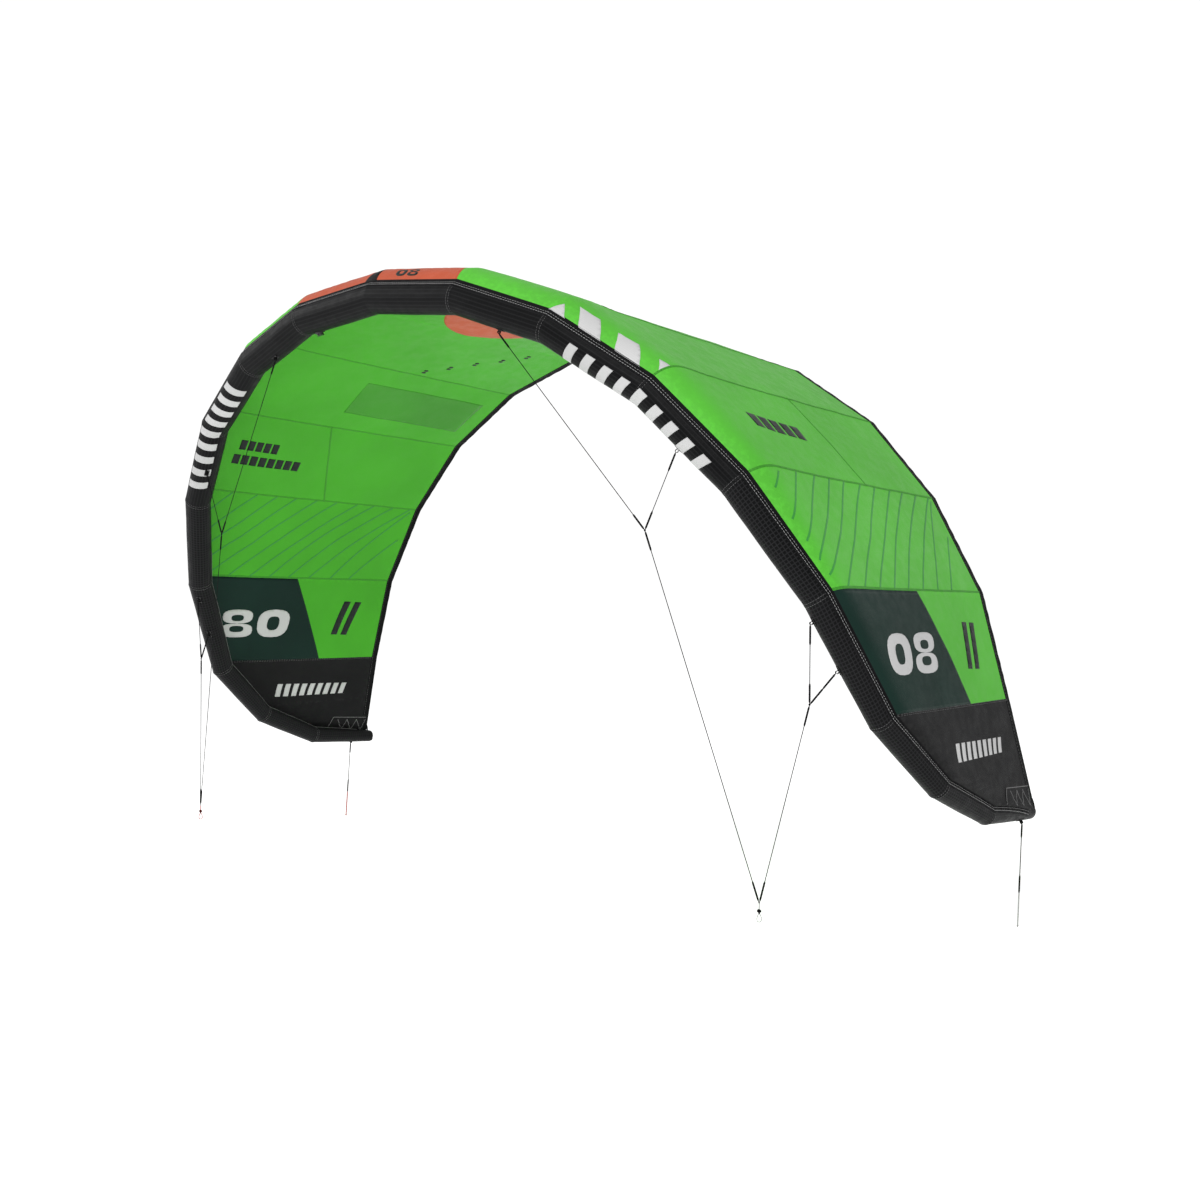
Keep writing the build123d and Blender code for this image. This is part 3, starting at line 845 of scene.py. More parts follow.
def canopy():
    """One sheet from tip to tip, with both of its faces."""
    ring = np.concatenate([outer, inner[:, ::-1]], axis=1)
    ring_uv = np.concatenate([cloth_uv, cloth_uv[:, ::-1]], axis=1)
    columns, rows = ring.shape[:2]
    row = np.arange(CANOPY_ROWS)
    cap = np.stack([row, row + 1, rows - 2 - row, rows - 1 - row], -1)
    faces = np.concatenate([ring_faces(columns, rows), cap, (columns - 1) * rows + cap[:, ::-1]])
    dark = np.abs(signed[:-1] + signed[1:]) / 2 > TIP_START
    inside = np.arange(rows) > CANOPY_ROWS
    kinds = np.where(dark[:, None], 2, inside[None].astype(int))
    kinds = np.append(kinds, np.full(2 * CANOPY_ROWS, 2))
    from_tube, to_edge = distances - 0.03, lengths[:, None] - EDGE_TAPE_WIDTH - distances
    wear = np.exp(-seam_distance(np.abs(signed)) / 0.012)[:, None]
    wear = wear + np.exp(-from_tube / 0.02) + np.exp(-to_edge / 0.015)
    wear = np.clip(np.concatenate([wear, wear[:, ::-1]], axis=1), 0, 1)
    # The inner faces take the darker green, which is painted shade of the arch's inside.
    colours = ("outer_green", "inner_green", "tip_black")
    made = add_mesh("canopy_sheet", ring, faces.tolist(), ring_uv, colours, "canopy", kinds=kinds, worn=wear)
    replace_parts(made, *[f"canopy_{k}_{side}" for side, _ in SIDES for k in [*range(1, TIP_START + 1), "tip"]])
    return made


sheet = canopy()

# ==== tapes ====
# Round each tape: where the point is, its height, its place across the weave for the seam tape, and its wear.
ON_TUBE, ON_CLOTH = 0, 1
SEAM_TAPE = (
    (ON_TUBE, 0.026, 0.0000, -0.026, 1), (ON_TUBE, 0.0255, 0.0010, -0.0255, 1), (ON_TUBE, 0.018, 0.0013, -0.018, 0.3),
    (ON_TUBE, 0.010, 0.0014, -0.010, 0), (ON_TUBE, 0.004, 0.0018, -0.004, 0), (ON_TUBE, 0.0005, 0.0030, 0, 0),
    (ON_CLOTH, 0.0015, 0.0027, 0.003, 0), (ON_CLOTH, 0.0045, 0.0026, 0.009, 0.4), (ON_CLOTH, 0.005, 0.0021, 0.010, 1),
    (ON_CLOTH, 0.005, -0.0002, 0.012, 1), (ON_CLOTH, 0.0045, -0.0007, 0.013, 0.4),
    (ON_CLOTH, 0.002, -0.0007, 0.018, 0), (ON_TUBE, -0.005, 0.0014, 0.024, 0), (ON_TUBE, -0.012, 0.0010, 0.031, 0.3),
    (ON_TUBE, -0.0125, 0.0000, 0.032, 1), (ON_TUBE, -0.004, -0.0015, 0.040, 0), (ON_TUBE, 0.010, -0.0015, 0.054, 0),
)
EDGE_TAPE = np.array([
    (EDGE_TAPE_WIDTH, 0.0020, 0.6), (0.0333, 0.0028, 0.6), (0.022, 0.0030, 0), (0.012, 0.0031, 0),
    (0.0065, 0.0036, 0.3), (0.003, 0.0036, 0.8), (0.0008, 0.0026, 1), (0.0, 0.0010, 1), (0.0008, -0.0006, 1),
    (0.003, -0.0016, 0.8), (0.0065, -0.0016, 0.3), (0.012, -0.0011, 0), (0.022, -0.0010, 0),
    (0.0333, -0.0008, 0.6), (EDGE_TAPE_WIDTH, 0.0, 0.6),
])
TAPE_SWELL = 1.009      # the tape stands on the tube's swell
TAPE_FRONT, TAPE_ROW = 0.026, 0.006
EDGE_WAVE = 0.0009


def add_tape(name, places, across, wear):
    """A tape of cross-sections, one at each station, that stands for its two CAD nodes."""
    count, size = places.shape[:2]
    uv, faces = strip_uv(cloth_arc, across), tube_faces(count, size)
    made = add_mesh(name, places, faces, uv, ("webbing",), "webbing", worn=np.tile(wear, count))
    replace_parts(made, *[f"{name}_{side}" for side, _ in SIDES])


def seam_tape():
    """Tape over the line where the canopy meets the tube: on the tube in front, and on both faces of the cloth."""
    station = np.abs(signed)
    centre, radius = between(JOINTS, station), between(RADII, station)
    toward = square_to(section(station)[1] - centre, unit(between(NORMALS, station)))
    up = square_to(square_to(between(OUTWARDS, station), unit(between(NORMALS, station))), toward)

    def on_tube(offset, lift):
        angle = (np.radians(between(SEAM_ANGLES, station)) + offset / radius)[:, None]
        return centre + (toward * np.cos(angle) + up * np.sin(angle)) * (radius * TAPE_SWELL + lift)[:, None]

    def on_cloth(distance, height):
        return cloth_point(station, np.full_like(station, distance), height)

    places = [(on_tube, on_cloth)[where](along, height) for where, along, height, _, _ in SEAM_TAPE]
    _, _, _, across, wear = zip(*SEAM_TAPE)
    add_tape("seam_tape", handed(np.stack(places, 1)), across, wear)
    offsets = TAPE_ROW * np.arange(5)
    rows = handed(np.stack([on_tube(TAPE_FRONT - offset, 0.0013) for offset in offsets], 1))
    middle_line = centre * np.concatenate([HAND, np.ones((len(signed), 2))], 1)
    tape_uv = np.stack(np.broadcast_arrays(cloth_arc[:, None], offsets[None]), -1)
    normals = unit(rows - middle_line[:, None])
    return Skin(signed, rows, normals, tape_uv, lambda s, offset: (TAPE_FRONT - np.asarray(offset)) / TAPE_ROW)


def edge_tape():
    """Tape folded over the trailing edge, with the leech line in its fold."""
    back, rise, wear = EDGE_TAPE.T
    waves = EDGE_WAVE * np.sin(cloth_arc * 74 + 2 * np.sin(cloth_arc * 19)) * smooth(6.5 - np.abs(signed), 0, 1)
    heights = rise[None] + waves[:, None] * smooth(EDGE_TAPE_WIDTH - back, 0, 0.03)[None]
    places = cloth_grid(lengths[:, None] - back[None], heights)
    add_tape("edge_tape", places, run_lengths(EDGE_TAPE[:, :2]), wear)


TAPE = seam_tape()
edge_tape()

STRAP_START = 8.45      # station on the trailing edge where the strap leaves it
STRAP_TURNS = (8, 150)  # degrees round the tube's end
STRAP_BOW = 0.003
STRAP_LIFT = 0.0012
STRAP_SIZE = (0.006, 0.0006)


def tip_strap(side, sign):
    """Webbing from the corner of the trailing edge over the rounded end of the tube."""
    axis = AXES[-1]
    corner, start = (cloth_point([s], chord([s]) - 0.004, 0.001)[0] for s in (TIP_END, STRAP_START))
    rise = square_to(corner - JOINTS[-1], axis)
    over = []
    for turn in np.radians(np.linspace(*STRAP_TURNS, 11)):
        along, share = end_profile(turn)
        ahead = along + STRAP_LIFT * math.sin(turn)
        over.append(JOINTS[-2] + axis * ahead + rise * (RADII[-1] + STRAP_LIFT) * share)
    free = [start + (over[0] - start) * t + axis * STRAP_BOW * math.sin(math.pi * t) for t in (0, 0.2, 0.4, 0.6, 0.8)]
    pile = Pile()
    pile.add(*on_side(sign, *webbing_strip(free + over, np.cross(axis, rise), *STRAP_SIZE)))
    pile.make(f"tip_strap_{side}", "webbing", "webbing")


for side, sign in SIDES:
    tip_strap(side, sign)

# ==== sizes of prints, bands and stitches ====
PANEL_LIFT, SHAPE_LIFT, BAR_LIFT, FIGURE_LIFT = 0.0004, 0.0005, 0.0006, 0.0007
PATCH_LIFT, TAB_LIFT = 0.0009, 0.0013
# Bands: width, and lowest and highest height over the skin.
SEAM_BAND = (0.0085, 0.0001, 0.0008)
HATCH_BAND = (0.0085, 0.0001, 0.0006)
ZIGZAG_BAND = (0.0032, 0.0008, 0.0016)
# The next two are light bands painted as highlights, drawn as piping: one on the inner face next to the tube, one
# along the tube towards the tips.
JUNCTION_HIGHLIGHT_BAND = (0.0024, 0.0001, 0.0012)
TUBE_HIGHLIGHT_BAND = (0.0036, 0.0001, 0.0015)
# Stitches: pitch, length and thickness.
CANOPY_STITCH = (0.014, 0.009, 0.0009)
TAPE_STITCH = (0.012, 0.009, 0.0016)
EDGE_STITCH = (0.013, 0.008, 0.0009)
RING_STITCH = (0.010, 0.0065, 0.0009)
PATCH_STITCH = (0.0042, 0.003, 0.0007)


def other_half(line):
    return [(-s, v) for s, v in line]


def to_left(lines):
    return [other_half(line) for line in lines]


def both(lines):
    return [*lines, *to_left(lines)]


def on_both_faces(polygons):
    return [(OUTER, polygons), (INNER, polygons)]


# ==== doublers at the tips, on the canopy's chart: station and share of the chord ====
PATCH = [(7.72, 0.5), (7.93, 0.985), (8.79, 0.985), (8.79, 0.05), (8.25, 0.04), (8.15, 0.18)]
PATCH_EDGE = [(8.2, 0.09), (8.15, 0.18), (7.966, 0.349), (7.846, 0.43), (7.72, 0.5), (7.854, 0.791), (7.93, 0.96)]
ZIGZAG = [
    (7.83, 0.53), (7.98, 0.497), (8.222, 0.375), (8.46, 0.14), (8.254, 0.421), (8.033, 0.585),
    (7.885, 0.66), (8.077, 0.625), (8.337, 0.516), (8.575, 0.3), (8.371, 0.578), (8.148, 0.723),
    (7.95, 0.8), (8.192, 0.78), (8.455, 0.729), (8.695, 0.61), (8.485, 0.819), (8.254, 0.905), (8.02, 0.95),
]
tip_lines = []
for side, sign in SIDES:
    patch, *threads = (line if sign > 0 else other_half(line) for line in (PATCH, PATCH_EDGE, ZIGZAG))
    made = lay_print(f"tip_patch_{side}", on_both_faces([patch]), "tip_black", "webbing", PATCH_LIFT)
    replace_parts(made, f"tip_patch_{side}")
    tip_lines += [(skin, pair) for skin in (OUTER, INNER) for thread in threads for pair in zip(thread, thread[1:])]
lay_bands("tip_zigzag", tip_lines, ZIGZAG_BAND, "thread_dim", "webbing")


# ==== prints on the canopy and the tube ====
def in_box(corners, points):
    """Places points of a unit square in a four-cornered figure: bottom left, bottom right, top right, top left."""
    bl, br, tr, tl = (np.array(c) for c in corners)
    return [tuple((bl * (1 - x) + br * x) * (1 - y) + (tl * (1 - x) + tr * x) * y) for x, y in points]


RING_POINTS, RING_POWER = 20, 2.7


def rounded(x0, x1, y0, y1):
    """Points of a rounded outline that fills a box."""
    points = []
    for turn in circle(RING_POINTS):
        x, y = (math.copysign(abs(part) ** (2 / RING_POWER), part) for part in (math.cos(turn), math.sin(turn)))
        points.append(((x0 + x1) / 2 + (x1 - x0) / 2 * x, (y0 + y1) / 2 + (y1 - y0) / 2 * y))
    return points


def ring_shapes(x0, x1, y0, y1, sides, bottom, top):
    """A rounded ring in a box as quads, with the thickness of its sides, bottom and top."""
    outside, inside = rounded(x0, x1, y0, y1), rounded(x0 + sides, x1 - sides, y0 + bottom, y1 - top)
    return [[outside[k - 1], outside[k], inside[k], inside[k - 1]] for k in range(RING_POINTS)]


def figure(character, x0, x1):
    wide = x1 - x0
    if character == "0":
        return ring_shapes(x0, x1, 0.0, 1.0, wide * 0.31, 0.25, 0.25)
    upper = ring_shapes(x0 + 0.02, x1 - 0.02, 0.5, 1.0, wide * 0.27, 0.085, 0.19)
    return upper + ring_shapes(x0, x1, 0.0, 0.5, wide * 0.28, 0.19, 0.085)


def size_figure(first, second, corners):
    return [in_box(corners, shape) for shape in figure(first, 0.0, 0.47) + figure(second, 0.53, 1.0)]


def slanted_bars(corners, count, fill=0.55, lean=0.35):
    """Plain slanted bars that fill a four-cornered figure."""
    whole = count - 1 + fill + lean
    bars = []
    for k in range(count):
        a, b, c = k / whole, (k + fill) / whole, lean / whole
        bars.append(in_box(corners, [(a, 0), (b, 0), (b + c, 1), (a + c, 1)]))
    return bars


FOREST = [[(5.0, 0.0), (5.0, 0.505), (6.0, 0.622), (6.0, 0.0)]]
SHADE = [[(2.26, 0.48), (2.756, 0.474), (2.759, 0.922), (2.25, 0.928)]]
LIGHT_SHAPES = [
    [(1.975, 0.0), (2.14, 0.0), (2.045, 0.021)],
    [(2.134, 0.037), (2.329, 0.039), (2.494, 0.0), (2.277, 0.0)],
    [(2.515, 0.036), (2.697, 0.042), (2.877, 0.0), (2.633, 0.0)],
    [(2.894, 0.041), (3.006, 0.044), (3.005, 0.011)],
]
ORANGE_FRONT = [[(-1.04, 0.0), (-0.9, 0.07), (-0.78, 0.13), (0.755, 0.13), (0.862, 0.073), (1.0, 0.0)]]
OVAL = [[(0.46 * math.cos(t) / 0.446, (0.906 + 0.33 * math.sin(t)) / 1.6) for t in circle(48)]]
SIZE_FIGURES = [
    *size_figure("0", "8", [(5.70, 0.072), (5.70, 0.435), (5.355, 0.508), (5.362, 0.148)]),
    *to_left(size_figure("8", "0", [(5.712, 0.056), (5.716, 0.425), (5.380, 0.474), (5.386, 0.105)])),
]
FRONT_FIGURE = size_figure("0", "8", [(0.24, 0.010), (0.50, 0.010), (0.46, 0.034), (0.20, 0.034)])
WEDGE = [[(-0.09, 0.0), (0.06, 0.0), (0.0, 0.055), (-0.08, 0.055)]]
MARK = slanted_bars([(5.69, 0.690), (5.70, 0.790), (5.28, 0.850), (5.27, 0.750)], 2, 0.6, 0.1)
BARS_LEFT = [
    *slanted_bars([(-3.46, 0.165), (-3.46, 0.31), (-3.335, 0.31), (-3.335, 0.165)], 5, 0.8, 0.1),
    *slanted_bars([(-3.645, 0.15), (-3.645, 0.41), (-3.525, 0.41), (-3.525, 0.15)], 8, 0.8, 0.1),
]
BARS_RIGHT = slanted_bars([(3.54, 0.195), (3.58, 0.43), (3.43, 0.43), (3.39, 0.195)], 5, 0.8, 0.12)
TIP_BARS = slanted_bars([(6.81, 0.18), (6.835, 0.745), (6.59, 0.785), (6.535, 0.265)], 9, 0.62, 0.1)
DOTS = [
    [(s + shift + 0.018 * math.cos(t), w + 0.0075 * math.sin(t)) for t in circle(12)]
    for s, w in ((1.903, 0.62), (1.733, 0.677), (1.547, 0.734), (1.358, 0.791), (1.16, 0.843))
    for shift in (-0.022, 0.022)
]
EDGE_BARS = slanted_bars([(2.24, -92), (3.78, -92), (3.78, -190), (2.24, -190)], 9, 0.5, 0.4)

for name, layers, material, slot, lift in (
    ("forest_panel", on_both_faces(both(FOREST)), "print_forest", "canopy_dark", PANEL_LIFT),
    ("shade_panel", on_both_faces(to_left(SHADE)), "print_shade", "canopy", PANEL_LIFT),
    ("light_shapes", [(OUTER, both(LIGHT_SHAPES))], "print_light", "canopy", SHAPE_LIFT),
    ("orange_front", on_both_faces(ORANGE_FRONT), "print_orange", "canopy", PANEL_LIFT),
    ("orange_oval", on_both_faces(OVAL), "print_orange", "canopy", PANEL_LIFT),
    ("size_figures", on_both_faces(SIZE_FIGURES), "print_light", "canopy_dark", FIGURE_LIFT),
    ("front_figure", [(OUTER, FRONT_FIGURE)], "print_black", "canopy", FIGURE_LIFT),
    ("front_wedge", [(OUTER, WEDGE)], "tip_black", "canopy", BAR_LIFT),
    ("plain_mark", on_both_faces(both(MARK)), "print_black", "canopy", BAR_LIFT),
    ("plain_bars_left", on_both_faces(BARS_LEFT), "print_black", "canopy", BAR_LIFT),
    ("plain_bars_right", on_both_faces(BARS_RIGHT), "print_black", "canopy", BAR_LIFT),
    ("plain_bars_tips", on_both_faces(both(TIP_BARS)), "print_light", "canopy_dark", BAR_LIFT),
    ("small_dots", on_both_faces(to_left(DOTS)), "print_black", "canopy", BAR_LIFT),
    ("leading_edge_bars", [(TUBE, both(EDGE_BARS))], "bar_light", "casing", BAR_LIFT),
):
    lay_print(name, layers, material, slot, lift)

# ==== seams, stitches, and light bands that are painted highlights ====
HATCH = [
    [(4.043, 0.082), (4.172, 0.031)],
    [(4.013, 0.183), (4.232, 0.093), (4.422, 0.022)],
    [(4.008, 0.282), (4.336, 0.137), (4.601, 0.022)],
    [(4.003, 0.364), (4.353, 0.22), (4.696, 0.042), (4.76, 0.022)],
    [(4.003, 0.444), (4.468, 0.25), (4.85, 0.041), (4.88, 0.022)],
    [(4.003, 0.534), (4.585, 0.276), (4.99, 0.064)],
    [(4.003, 0.619), (4.523, 0.396), (4.995, 0.165)],
    [(4.003, 0.710), (4.5, 0.496), (4.995, 0.264)],
    [(4.003, 0.785), (4.5, 0.564), (4.995, 0.359)],
    [(4.003, 0.871), (4.5, 0.653), (4.995, 0.453)],
    [(4.003, 0.952), (4.5, 0.747), (4.995, 0.554)],
    [(4.045, 0.956), (4.99, 0.664)],
    [(4.425, 0.945), (4.985, 0.763)],
]
CROSS_SEAMS = [[(3.0, 0.55), (4.0, 0.57)], [(-3.0, 0.47), (-4.0, 0.56)]]
# Stations and angles of a light band on the tube towards the tips: a painted highlight along the tube's edge, drawn
# as a closing seam's piping.
TUBE_HIGHLIGHT_LINE = [    # station and angle on the tube
    (4.6, -26), (5.0, -19), (5.5, -18.5), (5.92, -18), (6.12, -6),
    (6.6, -2), (7.0, 9), (7.6, 14), (8.1, 22), (8.75, 26),
]
THREAD_GAP = 0.0028     # from a seam's middle to each of its two threads
THREAD_HEIGHT = 0.0010


def share_at(station, distance):
    """A distance from the tube as a share of the chord."""
    return distance / float(chord([abs(station)])[0])


def tip_to_tip(count):
    return np.linspace(-TIP_END + 0.02, TIP_END - 0.02, count)


hatch = []
for line in HATCH:
    places, knots = np.array(line), np.arange(len(line))
    dense = [tuple(np.interp(t, knots, places[:, k]) for k in (0, 1)) for t in np.linspace(0, len(line) - 1, 9)]
    hatch += [(skin, half) for half in both([dense]) for skin in (OUTER, INNER)]
lay_bands("hatch_lines", hatch, HATCH_BAND, "print_hatch", "canopy")

seams, seam_stitches, dark_seams, dark_stitches = [], [], [], []
for sign in (1, -1):
    for k in range(2, 7):
        first, last = share_at(k, 0.007), 1 - share_at(k, 0.028)
        at = sign * (k - 0.012 if k == 5 else k)
        bands, threads = (dark_seams, dark_stitches) if k >= TIP_START else (seams, seam_stitches)
        for skin in (OUTER, INNER):
            low = 0.16 if k == 2 and skin is OUTER else first
            line = spaced((at, low), (at, last), 9)
            bands.append((skin, line))
            threads += [(skin, line, aside, THREAD_HEIGHT) for aside in (-THREAD_GAP, THREAD_GAP)]
for start, end in CROSS_SEAMS:
    for skin in (OUTER, INNER):
        line = spaced(start, end, 7)
        seams.append((skin, line))
        seam_stitches.append((skin, line, 0.0, THREAD_HEIGHT))
lay_bands("canopy_seams", seams, SEAM_BAND, "seam_green", "canopy")
lay_bands("tip_seams", dark_seams, SEAM_BAND, "tip_black", "canopy_dark")
lay_stitches("canopy_stitches", seam_stitches, "thread_green", "canopy", CANOPY_STITCH)
lay_stitches("tip_stitches", dark_stitches, "thread_dim", "canopy_dark", CANOPY_STITCH)

tape_stitches = [(TAPE, [(s, offset) for s in tip_to_tip(120)], 0.0, 0.0002) for offset in (0.0055, 0.0165)]
lay_stitches("seam_tape_stitches", tape_stitches, "thread", "casing", TAPE_STITCH)
# A light band on the inner face next to the tube: a painted highlight along the junction, drawn as piping.
junction_highlight_lines = both([[(s, share_at(s, 0.0065)) for s in np.linspace(0.02, TIP_END - 0.02, 60)]])
lay_bands("junction_highlight_piping", [(INNER, line) for line in junction_highlight_lines], JUNCTION_HIGHLIGHT_BAND, "thread_dim", "webbing")
# A light band on the tube towards the tips: a painted highlight along its edge, drawn as piping.
tube_highlight_lines = [(TUBE, spaced(*pair, 9)) for line in both([TUBE_HIGHLIGHT_LINE]) for pair in zip(line, line[1:])]
lay_bands("tube_highlight_piping", tube_highlight_lines, TUBE_HIGHLIGHT_BAND, "thread_dim", "casing")
edge_line = [(s, 1 - share_at(s, 0.029)) for s in tip_to_tip(120)]
edge_stitches = [(skin, edge_line, 0.0, 0.0014) for skin in (OUTER, INNER)]
lay_stitches("edge_tape_stitches", edge_stitches, "thread_dim", "webbing", EDGE_STITCH)
ring_stitches = []
for joint in range(1, LAST):
    for sign in (1, -1):
        for panel, offset in ((joint - 1, -0.006), (joint, 0.006)):
            s = sign * (joint + offset / PANEL_LENGTHS[panel])
            ring_stitches.append((TUBE, [(s, angle) for angle in np.linspace(0, 359.5, 37)], 0.0, 0.0002))
lay_stitches("tube_stitches", ring_stitches, "thread_dim", "casing", RING_STITCH)


# ==== the bridle, with the CAD part's points on the right half ====
LOOP_ENDS = {
    "front_inner": (0.652921, 0.016099, -0.188471),
    "front_outer": (1.354640, 0.166425, -0.634493),
    "rear_inner": (1.753706, 0.388903, -1.214192),
    "rear_outer": (1.797925, 0.476763, -1.380958),
    "tip": (1.958093, 1.480942, -1.993864),
}
JOINS = {"front": (1.228, 0.153, -0.899), "rear": (1.745, 0.399, -1.486)}
PULL_KNOT = (1.613, 0.298, -2.160)
FRONT_PIGTAIL_END = (1.613, 0.298, -2.196)
REAR_PIGTAIL_END = (1.960093, 1.448942, -2.380864)
LINE, PIGTAIL = 0.003, 0.0036
SLEEVE_RADIUS, TAIL_RADIUS = 0.0034, 0.0026
LEG_SLEEVES = [(0.004, 0.070), (-0.072, -0.006)]        # along a line, from its end where negative
LOWER_SLEEVES = [(0.006, 0.074), (-0.078, -0.010)]
PATCH_LENGTH, PATCH_WIDTH = 0.017, 0.010
TAB_FOOT = ((0.012, 0.0012), (0.0065, 0.0014))      # along the tube and up from it
TAB_TURN = 0.0052
TAB_SIZE = (0.0045, 0.0005)
JOIN_KNOT, STOPPER_KNOT, TAIL_KNOT = (0.0034, 0.0015), (0.0070, 0.0026), (0.0036, 0.0014)
TAIL_END = 0.985
LOOP_REACH, LOOP_HEIGHT, LOOP_Z, LOOP_THICK = 0.0072, 0.0148, -2.2075, 0.0014


def nearest_on_tube(point):
    """Column and row of the tube's surface point nearest to a point."""
    gaps = np.linalg.norm(TUBE.points - point, axis=-1)
    i, j = np.unravel_index(np.argmin(gaps), gaps.shape)
    fine = np.linspace(-1, 1, 41)
    columns = np.clip(i + fine, 0, len(TUBE.stations) - 1)
    charts = np.stack(np.meshgrid(columns, j + fine, indexing="ij"), -1).reshape(-1, 2)
    return charts[np.argmin(np.linalg.norm(TUBE.at(charts)[0] - point, axis=-1))]


def webbing_tab(end):
    """Outline of a patch on the tube, and a flat loop of webbing that stands on it up to the line's end."""
    end = np.array(end)
    chart = nearest_on_tube(end)
    foot = TUBE.at([chart])[0][0]
    station = float(np.interp(chart[0], np.arange(len(TUBE.stations)), TUBE.stations))
    angle = chart[1] * 360 / TUBE_ROWS
    panel = min(int(station), LAST - 1)
    long, wide = PATCH_LENGTH / PANEL_LENGTHS[panel], math.degrees(PATCH_WIDTH / float(between(RADII, station)))
    axis = AXES[panel]
    up = square_to(unit(end - foot), axis)
    middle = float((end - foot) @ up) + 0.0008 - TAB_TURN
    path = [foot - axis * along + up * height for along, height in TAB_FOOT]
    for t in np.linspace(-0.35 * math.pi, 1.35 * math.pi, 23)[::-1]:
        path.append(foot + up * (middle + TAB_TURN * math.sin(t)) + axis * TAB_TURN * math.cos(t))
    path += [foot + axis * along + up * height for along, height in TAB_FOOT[::-1]]
    outline = [(station + a * long, angle + b * wide) for a, b in ((-1, -1), (1, -1), (1, 1), (-1, 1))]
    return outline, webbing_strip(path, np.cross(axis, up), *TAB_SIZE)


def rope_mesh(path, radius, sides=10, closed=False):
    """A tube along a path; radius may be one value or one per point."""
    path = np.asarray(path, float)
    ahead = unit(np.roll(path, -1, axis=0) - np.roll(path, 1, axis=0) if closed else np.gradient(path, axis=0))
    normals = [square_to(np.array([0.31, 0.92, 0.21]), ahead[0])]
    for a in ahead[1:]:
        normals.append(square_to(normals[-1], a))
    normals, turn = np.array(normals), circle(sides)
    ring = normals[:, None] * np.cos(turn)[:, None] + np.cross(ahead, normals)[:, None] * np.sin(turn)[:, None]
    points = path[:, None] + ring * np.broadcast_to(radius, len(path))[:, None, None]
    return points.reshape(-1, 3), tube_faces(len(path), sides, closed)


def sleeve_mesh(start, end, radius):
    """Braided sleeve on a line: tapered ends, and a slight ripple from the stitches inside."""
    t = np.concatenate([[0, 0.02, 0.05], np.linspace(0.09, 0.91, 25), [0.95, 0.98, 1]])
    start, end = np.array(start), np.array(end)
    length = np.linalg.norm(end - start)
    taper = 0.5 + 0.5 * np.clip(np.minimum(t, 1 - t) * length / 0.006, 0, 1) ** 0.6
    return rope_mesh(start + (end - start) * t[:, None], radius * taper * (1 + 0.05 * np.sin(t * length * 900)))


def sleeves_on(name, start, end, spans, body, material="sleeve", radius=SLEEVE_RADIUS):
    """Sleeves on one line; each span is its first and last distance from the start, or from the end if negative."""
    length = math.dist(start, end)
    pile = Pile()
    for span in spans:
        first, last = (share_of(start, end, (d + length if d < 0 else d) / length) for d in span)
        pile.add(*sleeve_mesh(first, last, radius))
    return pile.make(name, material, "sleeve", body)


def knot(name, centre, body, sizes, material="sleeve"):
    size, thick = sizes
    t = circle(60)
    path = np.stack([np.sin(t) + 2 * np.sin(2 * t), np.sin(3 * t) * 1.5, np.cos(t) - 2 * np.cos(2 * t)], -1) / 3
    pile = Pile()
    pile.add(*rope_mesh(np.array(centre) + path * size * np.array([0.8, 0.8, 1.1]), thick, 8, True))
    return pile.make(name, material, "sleeve", body)


def straight_cord(name, start, end, diameter, material, body, node):
    """A taut cord through its route's points, as one open NURBS spline."""
    data = bpy.data.curves.new(name, "CURVE")
    data.dimensions = "3D"
    spline = data.splines.new("NURBS")
    spline.points.add(2)
    for target, point in zip(spline.points, (start, share_of(start, end, 0.5), end)):
        target.co = (*point, 1.0)
    spline.order_u = 3
    spline.use_endpoint_u = True
    data.bevel_depth = diameter / 2
    data.bevel_resolution = 3
    data.resolution_u = 8
    data.use_fill_caps = True
    data.materials.append(M[material])
    made = bpy.data.objects.new(name, data)
    bpy.context.collection.objects.link(made)
    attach(made, body)
    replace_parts(made, node)


